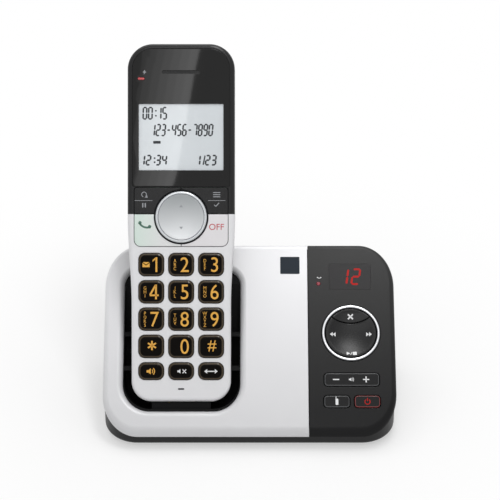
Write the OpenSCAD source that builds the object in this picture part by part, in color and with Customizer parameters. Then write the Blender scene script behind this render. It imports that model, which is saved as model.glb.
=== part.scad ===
// Answering machine: a cordless handset standing in the cradle pocket of its answering base.
// Millimetres. The origin is on the table, under the middle of the box round the whole object.
// The front faces -Y, +X is to the right and +Z is up.

/* [Base body] */
// Width of the base
base_w = 140; // [134:1:150]
// Depth of the base's footprint
base_d = 78; // [74:1:84]
// Height of the sloped face's front edge above the table
front_h = 10; // [9.5:0.5:13]
// Slope of the face from the table, in degrees
face_slope = 35; // [33:1:37]
// Plan radius of the base's corners
corner_r = 17; // [12:1:20]
// Rounding of the covers' outer edge
edge_r = 2.6; // [1.6:0.2:3]
// Height of the covers' skirt, measured down from the face's edge
skirt_h = 4.2; // [3.6:0.2:5]
// Wall of the covers and of the bottom shell
wall = 2.2; // [1.8:0.1:2.6]
// Width of the dark control panel, from the seam to the base's right side
panel_w = 41.8; // [40:0.2:44]
// Gap along the seam and round each cover
seam_gap = 0.2; // [0.1:0.05:0.4]
// How far the bottom shell stands back under the covers
shell_inset = 0.7; // [0.4:0.1:1.2]
// Thickness of the bottom shell's locating lip
lip_t = 1.2; // [0.8:0.1:1.6]

/* [Feet and screws] */
// Height of the rubber feet
foot_h = 1.5; // [1:0.1:2]
// Radius of the rubber feet
foot_r = 5; // [4:0.5:7]
// Distance of the feet from the base's sides
foot_margin = 17.5; // [16:0.5:20]
// Radius of a base screw's shank
screw_r = 1.25; // [1:0.05:1.5]
// Radius of a base screw's head
screw_head_r = 2.7; // [2.4:0.1:3]
// Height of a screw's head
screw_head_h = 1.8; // [1.4:0.1:2.2]
// Length of a base screw's shank
screw_len = 7; // [6:0.5:7.5]
// Clearance round a screw's shank and head
screw_clear = 0.3; // [0.2:0.05:0.5]
// Wall of the screw pillars
pillar_wall = 1.7; // [1.4:0.1:2]

/* [Cradle pocket] */
// Distance of the handset's middle from the base's left side
cradle_side = 37.5; // [36:0.5:39]
// Distance of the pocket's rim from the face's front edge
pocket_front = 11; // [10:0.5:13]
// Width of the pocket
pocket_w = 55.4; // [54:0.2:57]
// Depth of the pocket, square to the handset
pocket_depth = 24; // [22:0.5:24.5]
// Radius of the pocket's lower corners
pocket_corner_r = 12.5; // [10:0.5:14]
// Radius between the pocket's floor and its back
pocket_back_r = 12; // [11:0.5:14]
// Wall of the cradle insert
insert_wall = 1.6; // [1.2:0.1:1.8]
// Width of the insert's flange under the cover
flange_w = 3; // [2:0.5:4]
// Thickness of the insert's flange
flange_t = 1.2; // [1:0.1:1.6]
// Lean of the handset back from upright, in degrees
lean = 35; // [33:1:37]
// How far the handset's face lies below the pocket's rim
handset_sink = 1.6; // [0.6:0.2:2.4]
// Height of the handset's lower end above the pocket's floor
seat_h = 3.6; // [3:0.2:4.2]
// Running clearance between the handset and what guides it
guide_clear = 0.35; // [0.3:0.05:0.6]
// Thickness of the guide ribs
rib_t = 2; // [1.4:0.2:2.4]
// Width of the cradle's contact blades
blade_w = 2.6; // [2:0.2:3]
// Thickness of the cradle's contact blades
blade_t = 0.8; // [0.6:0.1:1]
// Distance of the contact blades from the handset's middle
contact_x = 6; // [5:0.5:7]
// Depth of the contacts behind the handset's face
contact_depth = 7.4; // [6.5:0.1:8]

/* [Control panel] */
// Distance of the control group's middle from the base's right side
panel_side = 21.3; // [20.8:0.1:22]
// Place of the play disc's middle, up the face
disc_s = 49; // [48:0.5:50]
// Radius of the play disc
disc_r = 12.2; // [11.6:0.1:12.6]
// Depth of the dish in the play disc
dish_depth = 1.3; // [0.8:0.1:1.6]
// Width of the bright ring round the play disc
ring_w = 1.6; // [1.2:0.1:1.8]
// How far the ring stands above the panel
ring_proud = 0.8; // [0.5:0.1:1.2]
// Height of the delete key's lower edge above the disc's middle
delete_edge = 5; // [4:0.2:6]
// Radius of the delete key's lower edge
delete_edge_r = 16; // [14:0.5:20]
// Thickness of the play disc
disc_t = 2.8; // [2.4:0.1:3]
// Depth of the play disc's pivot below the panel's face
pivot_depth = 3.4; // [3.2:0.1:3.6]
// Width of the volume rocker
rocker_w = 26; // [24:0.5:27]
// Height of the volume rocker, up the face
rocker_h = 6.2; // [5.4:0.2:6.4]
// Place of the volume rocker's middle, up the face
rocker_s = 25.7; // [25.4:0.1:26.4]
// Width of the find key and of the answer key
small_key_w = 12; // [11:0.2:12.4]
// Height of the find key and of the answer key
small_key_h = 5.7; // [5:0.1:6]
// Place of the two small keys' middle, up the face
small_key_s = 14.9; // [14.6:0.1:15.6]
// Distance between the two small keys' middles
small_key_pitch = 14.5; // [14:0.1:15]
// Corner radius of the rocker and the small keys
small_key_r = 1.6; // [1:0.1:2]
// Gap round each key
key_gap = 0.3; // [0.25:0.05:0.4]
// How far the panel's keys stand above the panel
panel_key_proud = 0.5; // [0.3:0.1:0.8]
// Width of the message counter's window
window_w = 20; // [18:0.5:22]
// Height of the message counter's window
window_h = 13; // [12:0.5:14]
// Distance of the counter window's middle from the face's back edge
window_back = 17.5; // [16.5:0.1:18.5]
// Thickness of the counter window
window_t = 1.6; // [1.2:0.1:1.8]
// Distance of the in-use lamp to the left of the control group's middle
lamp_offset = 15.3; // [14.5:0.1:15.5]
// How far the in-use lamp lies below the counter window's middle
lamp_drop = 3.6; // [3:0.1:4.2]
// Radius of the in-use lamp
lamp_r = 0.9; // [0.8:0.05:1]
// Radius of the play disc's pivot
pivot_r = 1.6; // [1.4:0.1:1.8]
// Margin of the key board below the lowest keys
key_board_margin = 2.5; // [2:0.1:3]
// Depth of the key board's top below the face
key_board_depth = 5.4; // [5.2:0.1:5.6]
// Thickness of the key membranes
membrane_t = 0.8; // [0.6:0.1:0.9]
// Thickness of the circuit boards
board_t = 1.2; // [1:0.1:1.6]

/* [Base works] */
// Width of the main board
main_board_w = 43; // [40:1:44]
// Depth of the main board
main_board_d = 56; // [50:1:57]
// Height of the main board's bosses above the shell's floor
board_boss_h = 4; // [3:0.5:5]
// Radius of the main board's bosses
board_boss_r = 2.2; // [2:0.1:3]
// Width of the line jack
line_jack_w = 13; // [12:0.5:14]
// Height of the line jack
line_jack_h = 12; // [11:0.5:13]
// Width of the opening in the line jack
line_hole_w = 9.6; // [9.4:0.1:10]
// Height of the opening in the line jack
line_hole_h = 6.8; // [6.5:0.1:7]
// Depth of the opening in the line jack
line_hole_depth = 12; // [10:0.5:13]
// Length of each jack's housing
jack_len = 15; // [14.5:0.5:16]
// Width and height of the power jack
power_jack_w = 9; // [8.5:0.5:10]
// Radius of the hole in the power jack
power_hole_r = 2.9; // [2.7:0.05:3]
// Radius of the power jack's centre pin
power_pin_r = 0.85; // [0.6:0.05:1]
// Distance between the middles of the two jacks
jack_pitch = 22; // [20:1:24]
// Radius of the base's loudspeaker
speaker_r = 16; // [14:0.5:17]
// Height of the base's loudspeaker
speaker_h = 7; // [6:0.5:8]
// Width of a loudspeaker slot
slot_w = 1.6; // [1.2:0.1:2]
// Distance between loudspeaker slots
slot_pitch = 3.4; // [3.2:0.1:4]

/* [Handset body] */
// Length of the handset
handset_len = 170; // [166:1:174]
// Width of the handset's upper half
handset_w = 51; // [50:0.5:52]
// Width of the handset's lower half
handset_low_w = 47.2; // [46:0.2:48]
// Height at which the handset starts to widen
waist_low = 46; // [40:1:50]
// Height at which the handset reaches its upper width
waist_high = 88; // [82:1:92]
// Radius of the handset's upper corners
top_r = 12; // [10:0.5:14]
// Radius of the handset's lower corners
bottom_r = 9.5; // [8.5:0.5:11]
// Rounding of the handset's front edge
front_r = 2; // [1.4:0.2:2.4]
// Rounding of the handset's back edge
back_r = 6; // [5:0.5:7]
// Depth of the front pieces, down to the joint with the back shell
front_depth = 10; // [9.6:0.1:10.4]
// Thickness of the handset at its lower end
low_t = 17; // [16.6:0.1:17.4]
// Thickness of the handset behind the display
high_t = 25.5; // [24.5:0.5:26]
// Thickness of the handset at its upper end
top_t = 20; // [19:0.5:22]
// Wall of the handset's shells
shell_wall = 1.8; // [1.6:0.1:2]
// Thickness of the keypad face
face_t = 1.6; // [1.4:0.1:1.7]
// Thickness of the upper bezel, under and round the lens
bezel_t = 2.8; // [2.6:0.1:3]
// Height of the line where the dark bezel meets the silver face
colour_line = 89.1; // [88.6:0.1:89.6]

/* [Display and ear end] */
// Lower edge of the display lens
lens_low = 102.2; // [102:0.1:103]
// Margin between the lens and the handset's outline
lens_margin = 2.3; // [2.1:0.1:2.8]
// Thickness of the display lens
lens_t = 1.3; // [1.1:0.1:1.5]
// Width of the display
lcd_w = 40.2; // [38:0.2:40.6]
// Height of the display
lcd_h = 31.5; // [30:0.5:32]
// Lower edge of the display
lcd_low = 109.9; // [109:0.1:111]
// Thickness of the display module
lcd_t = 2.2; // [1.8:0.1:2.3]
// Margin of the display module round what it shows
lcd_rim = 1.2; // [1:0.1:1.4]
// Height of the earpiece slot's middle
ear_y = 156.5; // [155:0.5:158]
// Width of the earpiece slot
ear_slot_w = 18; // [16:0.5:20]
// Height of the earpiece slot
ear_slot_h = 1.5; // [1.2:0.1:1.8]
// Radius of the earpiece speaker
ear_r = 9; // [8:0.5:10]
// Height of the charge lamp's middle
charge_y = 153.4; // [152.5:0.1:154]
// Distance of the charge lamp to the left of the middle
charge_x = 19; // [18.5:0.1:19.2]
// Width of the charge lamp
charge_w = 3.3; // [2.8:0.1:3.5]
// Height of the charge lamp
charge_h = 1.4; // [1.2:0.1:1.6]

/* [Handset keys] */
// Height of the navigation key's middle
nav_y = 87.7; // [87.4:0.1:88]
// Radius of the navigation key
nav_r = 12.2; // [11.8:0.1:12.4]
// How far the navigation key's rim stands above the handset's face
nav_proud = 1; // [0.7:0.1:1.2]
// Depth of the dish in the navigation key
nav_dish = 0.8; // [0.5:0.1:1]
// Dark gap between the navigation key and its neighbours
nav_gap = 0.7; // [0.5:0.1:0.8]
// Lower edge of the function keys
function_low = 73.8; // [73.6:0.1:74]
// Upper edge of the function keys
function_high = 101.6; // [101.2:0.1:101.6]
// Half of the distance between the function keys' outer edges
function_half_w = 22.2; // [21.8:0.1:22.3]
// Distance between key columns
key_pitch_x = 14.2; // [14:0.1:14.3]
// Distance between key rows
key_pitch_y = 12.95; // [12.8:0.05:13]
// Middle of the top row of number keys
key_top_y = 65.1; // [65:0.1:65.3]
// Width of a key
key_w = 11.7; // [11.2:0.1:12]
// Height of a number key
key_h = 10.5; // [10:0.1:10.8]
// Corner radius of a number key
key_r = 2.8; // [2.2:0.1:3.2]
// Height of a key in the lowest row
low_key_h = 7.9; // [7.4:0.1:8.2]
// Middle of the lowest row
low_key_y = 14.5; // [14.4:0.1:14.7]
// How far the keys stand above the handset's face
key_proud = 0.9; // [0.6:0.1:1.2]
// Depth of the keys' undersides below the face
key_bottom = 2.3; // [2.2:0.05:2.4]
// Width of the keys' retaining flanges
key_flange = 0.4; // [0.3:0.05:0.4]
// Travel of every key
key_travel = 0.6; // [0.4:0.1:0.7]

/* [Handset works] */
// Clearance between pieces that are stacked in the handset
stack_gap = 0.1; // [0.05:0.05:0.2]
// Lower edge of the handset's circuit board
board_low = 9.2; // [9:0.1:9.6]
// Upper edge of the handset's circuit board
board_high = 147; // [145:0.5:147]
// Radius of a battery cell
cell_r = 5.2; // [5:0.1:5.3]
// Length of a battery cell
cell_len = 44.5; // [44:0.1:45]
// Lower edge of the battery door
door_low = 44; // [43:0.5:45]
// Length of the battery door
door_len = 48; // [47.5:0.5:49]
// Width of the battery door
door_w = 34; // [32:0.5:35]
// Thickness of the battery door
door_t = 1.5; // [1.3:0.1:1.5]
// How far the door's lower lip stands above the back
door_lip = 2; // [1.9:0.1:2.1]
// Gap round the battery door
door_gap = 0.25; // [0.2:0.05:0.4]
// Radius of a handset screw's shank
small_screw_r = 0.9; // [0.8:0.05:1]
// Radius of a handset screw's head
small_head_r = 1.8; // [1.6:0.1:2]
// Radius of the hands-free speaker
free_speaker_r = 9; // [8:0.5:10]
// Height of the hands-free speaker's middle
free_speaker_y = 120; // [118:1:124]

/* [Hidden] */
SILVER = "#d6d8da";
BLACK = "#2e2f31";
DARK = "#1d1e20";
CHROME = "#e8eaec";
GREEN = "#2f6b46";
COPPER = "#c8a45a";
$fn = 48;
eps = 0.01;
big = 300;
// The pocket is tilted up from the face by what the lean and the slope leave of a right angle.
tilt = 90 - lean - face_slope;
// The handset's farthest point behind the base's front edge, as it stands in the cradle.
handset_reach = max([for (a = [0:15:90]) for (p = back_ring(a)) behind_front(p)]);
base_front_y = -max(base_d, handset_reach) / 2;
base_mid_y = base_front_y + base_d / 2;
base_back_y = base_front_y + base_d;
shell_top_drop = skirt_h + seam_gap;
floor_z = foot_h + wall;
seam_x = base_w / 2 - panel_w;
panel_x = base_w / 2 - panel_side;
handset_x = cradle_side - base_w / 2;
window_s = base_d / cos(face_slope) - window_back;
lamp_s = window_s - lamp_drop;
middle_screw_x = (seam_x + handset_x + pocket_w / 2) / 2 - 3.7;
arc_steps = 10;
small_arc_steps = 5;
pad_z = -disc_t;
hole_r = disc_r + key_gap + ring_w + seam_gap;
// The key board's right edge stays clear of the covers' screw pillars.
key_board_right = base_w / 2 - 13;
key_board_left = seam_x + 2;
led_margin = 1.5;
lip_inset = wall + seam_gap;
lip_drop = wall / cos(face_slope) + seam_gap;
keys_y = [for (row = [0:3]) key_top_y - row * key_pitch_y];
mat_top = key_bottom + key_travel + 0.2;
mat_bottom = mat_top + membrane_t;
board_top = mat_bottom + stack_gap;
door_high = door_low + door_len;
screw_spots = [
    [middle_screw_x, base_front_y + 9.5],
    [middle_screw_x, base_back_y - 8.5],
    [-base_w / 2 + 16, base_back_y - 6.8],
    [base_w / 2 - 9.5, base_front_y + 10.5],
    [base_w / 2 - 9.5, base_back_y - 10.5],
];
pillar_r = screw_r + pillar_wall;
boss_top = floor_z + 2.4;
head_seat = boss_top - 1.6;
// The main board's right side stays clear of the right-hand pillars.
main_board_x = key_board_right - main_board_w - 1;
main_board_y = base_back_y - wall - 3 - main_board_d;
board_z = floor_z + board_boss_h;
jack_y = base_back_y - shell_inset - 0.8;
line_jack_x = main_board_x + 12;
power_jack_x = line_jack_x + jack_pitch;
speaker_x = handset_x;
speaker_y = base_back_y - wall - shell_inset - speaker_r - 3;
handset_screw_spots = [
    [-14.5, 5.9],
    [14.5, 5.9],
    [-16, handset_len - 12.5],
    [16, handset_len - 12.5],
];
KEY_NAMES = [
    ["key_1", "key_2", "key_3"],
    ["key_4", "key_5", "key_6"],
    ["key_7", "key_8", "key_9"],
    ["key_star", "key_0", "key_pound"],
    ["speaker_key", "mute_key", "intercom_key"],
];
BASE_NODES = [
    "base_bottom_shell", "base_top_cover", "control_panel", "cradle_insert", "cradle_contacts",
    "ring_trim", "play_pad", "pad_pivot", "delete_key", "volume_rocker", "find_handset_key",
    "answer_key", "counter_window", "led_display", "in_use_lamp", "base_key_membrane",
    "base_key_board", "base_circuit_board", "base_speaker", "line_jack", "power_jack",
    "rubber_feet", "base_screws",
];
HANDSET_NODES = [
    "handset_back_shell", "battery_cover", "battery_pack", "handset_upper_bezel",
    "handset_keypad_face", "display_lens", "lcd_module", "earpiece_speaker", "charge_lamp",
    "nav_key", "redial_key", "menu_key", "talk_key", "off_key", "keypad_membrane",
    "handset_circuit_board", "microphone", "handsfree_speaker", "handset_charge_contacts",
    "handset_screws",
];

// ---- frames ----

// The sloped face: x to the right, y up the slope from the front edge, z out of the face.
module face_frame() {
    translate([0, base_front_y, front_h])
        rotate([face_slope, 0, 0])
            children();
}

// The pocket: y along the handset from the pocket's floor, z out towards the user.
module pocket_frame() {
    face_frame()
        translate([handset_x, pocket_front, 0])
            rotate([tilt, 0, 0])
                children();
}

// The handset at rest: y from its lower end, z = 0 on its front face.
module handset_frame() {
    pocket_frame()
        translate([0, seat_h, -handset_sink])
            children();
}

// How far a point of the handset's frame lies behind the base's front edge, along the table.
function behind_front(p) =
    pocket_front * cos(face_slope) + (p.y + seat_h) * sin(lean) - (p.z - handset_sink) * cos(lean);

// Everything on the table's side of the face, less a depth measured square to it.
module under_face(depth) {
    face_frame()
        translate([-big / 2, -big / 2, -depth - big])
            cube(big);
}

module above_face(depth) {
    face_frame()
        translate([-big / 2, -big, -depth])
            cube([big, 3 * big, big]);
}

// A profile in the y-z plane, run along x across the middle.
module along_x(width) {
    rotate([90, 0, 90])
        linear_extrude(width, center = true)
            children();
}

// ---- shared shapes ----

function smooth(t) = let(u = min(max(t, 0), 1)) u * u * (3 - 2 * u);

function arc(centre, r, from, steps) =
    [for (i = [0:steps]) centre + r * [cos(from + 90 * i / steps), sin(from + 90 * i / steps)]];

// A rounded rectangle, from the middle of its lower side round to the right.
function round_ring(w, d, r, steps) =
    let(hx = w / 2 - r, hy = d / 2 - r)
    concat(
        arc([hx, -hy], r, -90, steps),
        arc([hx, hy], r, 0, steps),
        arc([-hx, hy], r, 90, steps),
        arc([-hx, -hy], r, 180, steps)
    );

function at_z(ring, z) = [for (p = ring) [p.x, p.y, z]];

// A solid through rings of points, lowest ring first. Each ring runs up the right and down the left.
module loft(rings) {
    n = len(rings[0]);
    top = (len(rings) - 1) * n;
    sides = [
        for (j = [0:len(rings) - 2])
            for (i = [0:n - 1])
                let(a = j * n + i, b = j * n + (i + 1) % n)
                each [[a, a + n, b + n], [a, b + n, b]]
    ];
    floor_caps = [
        for (i = [0:n / 2 - 2])
            let(a = i, b = i + 1, c = n - 2 - i, d = n - 1 - i)
            each [[a, b, c], [a, c, d]]
    ];
    top_caps = [
        for (i = [0:n / 2 - 2])
            let(a = top + i, b = top + i + 1, c = top + n - 2 - i, d = top + n - 1 - i)
            each [[a, c, b], [a, d, c]]
    ];
    polyhedron([for (ring = rings) each ring], concat(sides, floor_caps, top_caps), convexity = 6);
}

module round_rect(w, d, r) {
    square([w - 2 * r, d], center = true);
    square([w, d - 2 * r], center = true);
    for (x = [-1, 1])
        for (y = [-1, 1])
            translate([x * (w / 2 - r), y * (d / 2 - r)])
                circle(r);
}

// ---- base housings ----

function face_z(y) = front_h + (y - base_front_y) * tan(face_slope);

function plan_ring(inset) = [
    for (p = round_ring(base_w - 2 * inset, base_d - 2 * inset, corner_r - inset, arc_steps))
        [p.x, p.y + base_mid_y]
];

// A ring of the plan outline, a drop below the face.
function cover_ring(inset, drop) = [for (p = plan_ring(inset)) [p.x, p.y, face_z(p.y) - drop]];

module plan_prism(inset, from_z) {
    translate([0, base_mid_y, from_z])
        linear_extrude(big / 2)
            round_rect(base_w - 2 * inset, base_d - 2 * inset, corner_r - inset);
}

// Both covers in one, before the seam: a thin tray that follows the slope, with rounded edges.
module cover_tray() {
    rounding = [for (a = [0:22.5:90]) cover_ring(edge_r * (1 - cos(a)), edge_r * (1 - sin(a)))];
    difference() {
        loft(concat([cover_ring(0, skirt_h)], rounding));
        intersection() {
            plan_prism(wall, -10);
            under_face(wall);
        }
    }
}

// A screw pillar hangs from a cover down to the bottom shell's boss.
module pillar(spot) {
    difference() {
        intersection() {
            translate([spot.x, spot.y, boss_top + seam_gap])
                cylinder(r = pillar_r, h = big / 3);
            under_face(wall - 0.3);
        }
        translate([spot.x, spot.y, 0])
            cylinder(r = screw_r + 0.1, h = boss_top + screw_len);
    }
}

// The pocket's solid, grown sideways and down by one wall and backwards by another.
module pocket_solid(side, back) {
    w = pocket_w + 2 * side;
    r = pocket_corner_r + side;
    intersection() {
        translate([0, 0, -big / 2])
            linear_extrude(big) {
                translate([0, big / 2 + r - side])
                    square([w, big], center = true);
                translate([0, big / 4 - side])
                    square([w - 2 * r, big / 2], center = true);
                for (x = [-1, 1])
                    translate([x * (w / 2 - r), r - side])
                        circle(r);
            }
        along_x(big)
            pocket_profile(side, back);
    }
}

module pocket_profile(side, back) {
    r = pocket_back_r + back;
    depth = pocket_depth + back;
    difference() {
        translate([-side, -depth])
            square([big / 2, depth + 20]);
        translate([-side - eps, -depth - eps])
            difference() {
                square(r);
                translate([r, r])
                    circle(r);
            }
    }
}

module base_top_cover() {
    color(SILVER)
        difference() {
            union() {
                difference() {
                    cover_tray();
                    translate([seam_x - seam_gap / 2, -big / 2, -big / 2])
                        cube(big);
                }
                for (spot = screw_spots)
                    if (spot.x < seam_x)
                        pillar(spot);
            }
            pocket_frame()
                pocket_solid(0.3, 0.3);
        }
}

module panel_hole(x, s, w, h, r) {
    translate([x, s, -1.5 * wall])
        linear_extrude(3 * wall)
            round_rect(w, h, r);
}

module control_panel() {
    color(BLACK)
        difference() {
            union() {
                difference() {
                    cover_tray();
                    translate([seam_x + seam_gap / 2 - big, -big / 2, -big / 2])
                        cube(big);
                }
                for (spot = screw_spots)
                    if (spot.x > seam_x)
                        pillar(spot);
            }
            face_frame() {
                translate([panel_x, disc_s, -wall - 2])
                    cylinder(r = hole_r, h = wall + 6);
                key_well(panel_x, rocker_s, rocker_w, rocker_h);
                for (side = [-1, 1])
                    key_well(panel_x + side * small_key_pitch / 2, small_key_s, small_key_w, small_key_h);
                panel_hole(panel_x, window_s, window_w + 0.2, window_h + 0.2, 1.1);
                translate([panel_x - lamp_offset, lamp_s, -wall - 2])
                    cylinder(r = lamp_r + 0.1, h = wall + 6);
            }
        }
}

module key_well(x, s, w, h) {
    panel_hole(x, s, w + 2 * key_gap, h + 2 * key_gap, small_key_r + key_gap);
}

module base_bottom_shell() {
    color(BLACK)
        difference() {
            union() {
                difference() {
                    shell_block(shell_inset, shell_top_drop);
                    plan_prism(shell_inset + wall, floor_z);
                }
                difference() {
                    shell_block(lip_inset, lip_drop);
                    plan_prism(lip_inset + lip_t, floor_z);
                    translate([-big / 2, -big / 2, 0])
                        cube([big, big, front_h - shell_top_drop - 0.8]);
                }
                for (spot = screw_spots)
                    translate([spot.x, spot.y, foot_h + eps])
                        cylinder(r = screw_head_r + screw_clear + 1.4, h = boss_top - foot_h - eps);
                for (x = [4, main_board_w - 4])
                    for (y = [4, main_board_d - 4])
                        translate([main_board_x + x, main_board_y + y, foot_h + eps])
                            cylinder(r = board_boss_r, h = board_z - foot_h - eps);
                speaker_ring();
            }
            for (spot = screw_spots)
                translate([spot.x, spot.y, 0]) {
                    cylinder(r = screw_r + screw_clear, h = boss_top + 1);
                    cylinder(r = screw_head_r + screw_clear, h = head_seat);
                }
            jack_windows();
            speaker_slots();
        }
}

module shell_block(inset, drop) {
    intersection() {
        plan_prism(inset, foot_h);
        under_face(drop * cos(face_slope));
    }
}

module jack_windows() {
    translate([line_jack_x - line_jack_w / 2 - 0.2, base_back_y - 8, board_z + board_t])
        cube([line_jack_w + 0.4, 16, line_jack_h + 0.4]);
    translate([power_jack_x - power_jack_w / 2 - 0.2, base_back_y - 8, board_z + board_t])
        cube([power_jack_w + 0.4, 16, power_jack_w + 0.4]);
}

module speaker_ring() {
    translate([speaker_x, speaker_y, foot_h + eps])
        difference() {
            cylinder(r = speaker_r + 1.6, h = wall + 2.6);
            translate([0, 0, -1])
                cylinder(r = speaker_r + 0.3, h = wall + 6);
        }
}

module speaker_slots() {
    for (i = [-3:3]) {
        half = sqrt(pow(speaker_r - 3, 2) - pow(i * slot_pitch, 2));
        translate([speaker_x - half, speaker_y + i * slot_pitch - slot_w / 2, 0])
            cube([2 * half, slot_w, floor_z + 0.5]);
    }
}

module cradle_insert() {
    color(DARK)
        difference() {
            pocket_frame()
                difference() {
                    insert_solid();
                    for (x = [-1, 1])
                        translate([x * contact_x, 0, -contact_depth - handset_sink])
                            cube([blade_w + 0.6, 20, blade_t + 0.6], center = true);
                }
            above_face(wall + 0.15);
        }
}

module insert_solid() {
    difference() {
        union() {
            pocket_solid(insert_wall, insert_wall);
            intersection() {
                pocket_solid(insert_wall + flange_w, insert_wall);
                rotate([-tilt, 0, 0])
                    translate([-big / 2, -big, -wall - 0.15 - flange_t])
                        cube([big, 3 * big, big]);
            }
        }
        difference() {
            pocket_solid(0, 0);
            cradle_ribs();
        }
    }
}

// Two ledges carry the handset's lower end, and ribs on the sides and the back guide it.
module cradle_ribs() {
    side_reach = handset_low_w / 2 + guide_clear;
    back_reach = handset_sink + low_t + guide_clear;
    // A low shelf joins the ledges and hides the contact blades from the front.
    translate([0, 0, -2.8 - handset_sink])
        cube([28, 2 * (seat_h - guide_clear), insert_wall], center = true);
    for (x = [-1, 1]) {
        translate([x * 12, 0, -6 - handset_sink])
            cube([4, 2 * (seat_h - guide_clear), 8], center = true);
        for (y = [18, 34])
            translate([x > 0 ? side_reach : -side_reach - 8, y, -pocket_depth - 1])
                cube([8, rib_t, pocket_depth - 8]);
        translate([x * 10 - rib_t / 2, 13, -back_reach - 12])
            cube([rib_t, 21, 12]);
    }
}

module cradle_contacts() {
    color(COPPER)
        pocket_frame()
            for (x = [-1, 1])
                translate([x * contact_x, 0, -contact_depth - handset_sink - blade_t / 2])
                    linear_extrude(blade_t) {
                        tip = seat_h - guide_clear - blade_w / 2;
                        translate([-blade_w / 2, -4.5])
                            square([blade_w, 4.5 + tip]);
                        translate([0, tip])
                            circle(blade_w / 2);
                    }
}

// ---- control panel pieces ----

module disc_frame() {
    face_frame()
        translate([panel_x, disc_s, 0])
            children();
}

module ring_trim() {
    inner = disc_r + key_gap;
    color(CHROME)
        disc_frame()
            rotate_extrude() {
                translate([inner, -wall])
                    square([ring_w, wall + ring_proud - ring_w / 2]);
                translate([inner + ring_w / 2, ring_proud - ring_w / 2])
                    circle(ring_w / 2);
            }
}

// Height of a shallow dish's surface at a distance from its middle; its rim is at 0.
function dish_z(x, r, depth) =
    let(big_r = (pow(r, 2) + pow(depth, 2)) / (2 * depth))
    big_r - depth - sqrt(pow(big_r, 2) - pow(x, 2));

// A disc with a dished top and a narrow flat rim.
module dished_plate(r, rim, low, high, depth) {
    dish = r - rim;
    rotate_extrude()
        polygon(concat(
            [[0, low], [r, low], [r, high - 0.4], [r - 0.3, high]],
            [for (i = [8:-1:0]) [dish * i / 8, high + dish_z(dish * i / 8, dish, depth)]]
        ));
}

// The disc with its dish, before the delete key is parted from it.
module dished_disc() {
    dished_plate(disc_r, 0.5, pad_z, 0.3, dish_depth);
}

module delete_area(gap) {
    translate([0, delete_edge + delete_edge_r, -disc_t - 1])
        cylinder(r = delete_edge_r - gap, h = disc_t + 4);
}

module play_pad() {
    color(DARK)
        disc_frame()
            difference() {
                dished_disc();
                delete_area(0);
            }
}

module delete_key() {
    color(DARK)
        disc_frame()
            intersection() {
                dished_disc();
                delete_area(key_gap);
            }
}

module pad_pivot() {
    color(SILVER)
        disc_frame()
            translate([0, 0, -key_board_depth + 0.2])
                cylinder(r = pivot_r, h = key_board_depth - 0.2 + pad_z - 0.15);
}

module panel_key(x, s, w, h) {
    top = panel_key_proud;
    rings = [
        at_z(round_ring(w, h, small_key_r, small_arc_steps), -wall - 0.4),
        at_z(round_ring(w, h, small_key_r, small_arc_steps), top - 0.4),
        at_z(round_ring(w - 0.3, h - 0.3, small_key_r - 0.15, small_arc_steps), top - 0.1),
        at_z(round_ring(w - 0.9, h - 0.9, small_key_r - 0.45, small_arc_steps), top),
    ];
    face_frame()
        translate([x, s, 0])
            loft(rings);
}

module volume_rocker() {
    color(BLACK)
        panel_key(panel_x, rocker_s, rocker_w, rocker_h);
}

module find_handset_key() {
    color(BLACK)
        panel_key(panel_x - small_key_pitch / 2, small_key_s, small_key_w, small_key_h);
}

module answer_key() {
    color(BLACK)
        panel_key(panel_x + small_key_pitch / 2, small_key_s, small_key_w, small_key_h);
}

module counter_window() {
    color(DARK)
        face_frame()
            translate([panel_x, window_s, -window_t])
                linear_extrude(window_t)
                    round_rect(window_w, window_h, 1);
}

module led_display() {
    color("#b02020")
        face_frame()
            translate([panel_x - window_w / 2 + led_margin, window_s - window_h / 2 + led_margin, -key_board_depth])
                cube([window_w - 2 * led_margin, window_h - 2 * led_margin, key_board_depth - window_t - stack_gap]);
}

module in_use_lamp() {
    color("#c03030")
        face_frame()
            translate([panel_x - lamp_offset, lamp_s, -key_board_depth])
                cylinder(r = lamp_r, h = key_board_depth + 0.2);
}

module base_key_membrane() {
    low = small_key_s - small_key_h / 2 - key_board_margin / 2;
    high = disc_s + disc_r + key_board_margin / 2;
    color("#6a6c70")
        face_frame()
            difference() {
                translate([key_board_left + 3, low, -key_board_depth])
                    cube([key_board_right - key_board_left - 3.5, high - low, membrane_t]);
                translate([panel_x, disc_s, -key_board_depth - membrane_t])
                    cylinder(r = 2 * pivot_r, h = 3 * membrane_t);
            }
}

module base_key_board() {
    low = small_key_s - small_key_h / 2 - key_board_margin;
    high = window_s + window_h / 2;
    color(GREEN)
        face_frame()
            translate([key_board_left, low, -key_board_depth - board_t])
                cube([key_board_right - key_board_left, high - low, board_t]);
}

// ---- base works ----

module base_circuit_board() {
    color(GREEN)
        translate([main_board_x, main_board_y, board_z])
            cube([main_board_w, main_board_d, board_t]);
}

module base_speaker() {
    color(DARK)
        translate([speaker_x, speaker_y, floor_z + 0.2]) {
            cylinder(r = speaker_r, h = 2);
            cylinder(r = speaker_r - 3, h = speaker_h - 2);
            cylinder(r = speaker_r / 2, h = speaker_h);
        }
}

module line_jack() {
    hole_z = board_z + board_t + 2.6;
    color("#3a3b3d")
        difference() {
            translate([line_jack_x - line_jack_w / 2, jack_y - jack_len, board_z + board_t])
                cube([line_jack_w, jack_len, line_jack_h]);
            translate([line_jack_x - line_hole_w / 2, jack_y - line_hole_depth, hole_z])
                cube([line_hole_w, line_hole_depth + 1, line_hole_h]);
            translate([line_jack_x - 3, jack_y - line_hole_depth, hole_z - 1.4])
                cube([6, line_hole_depth + 1, 1.6]);
        }
}

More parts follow.
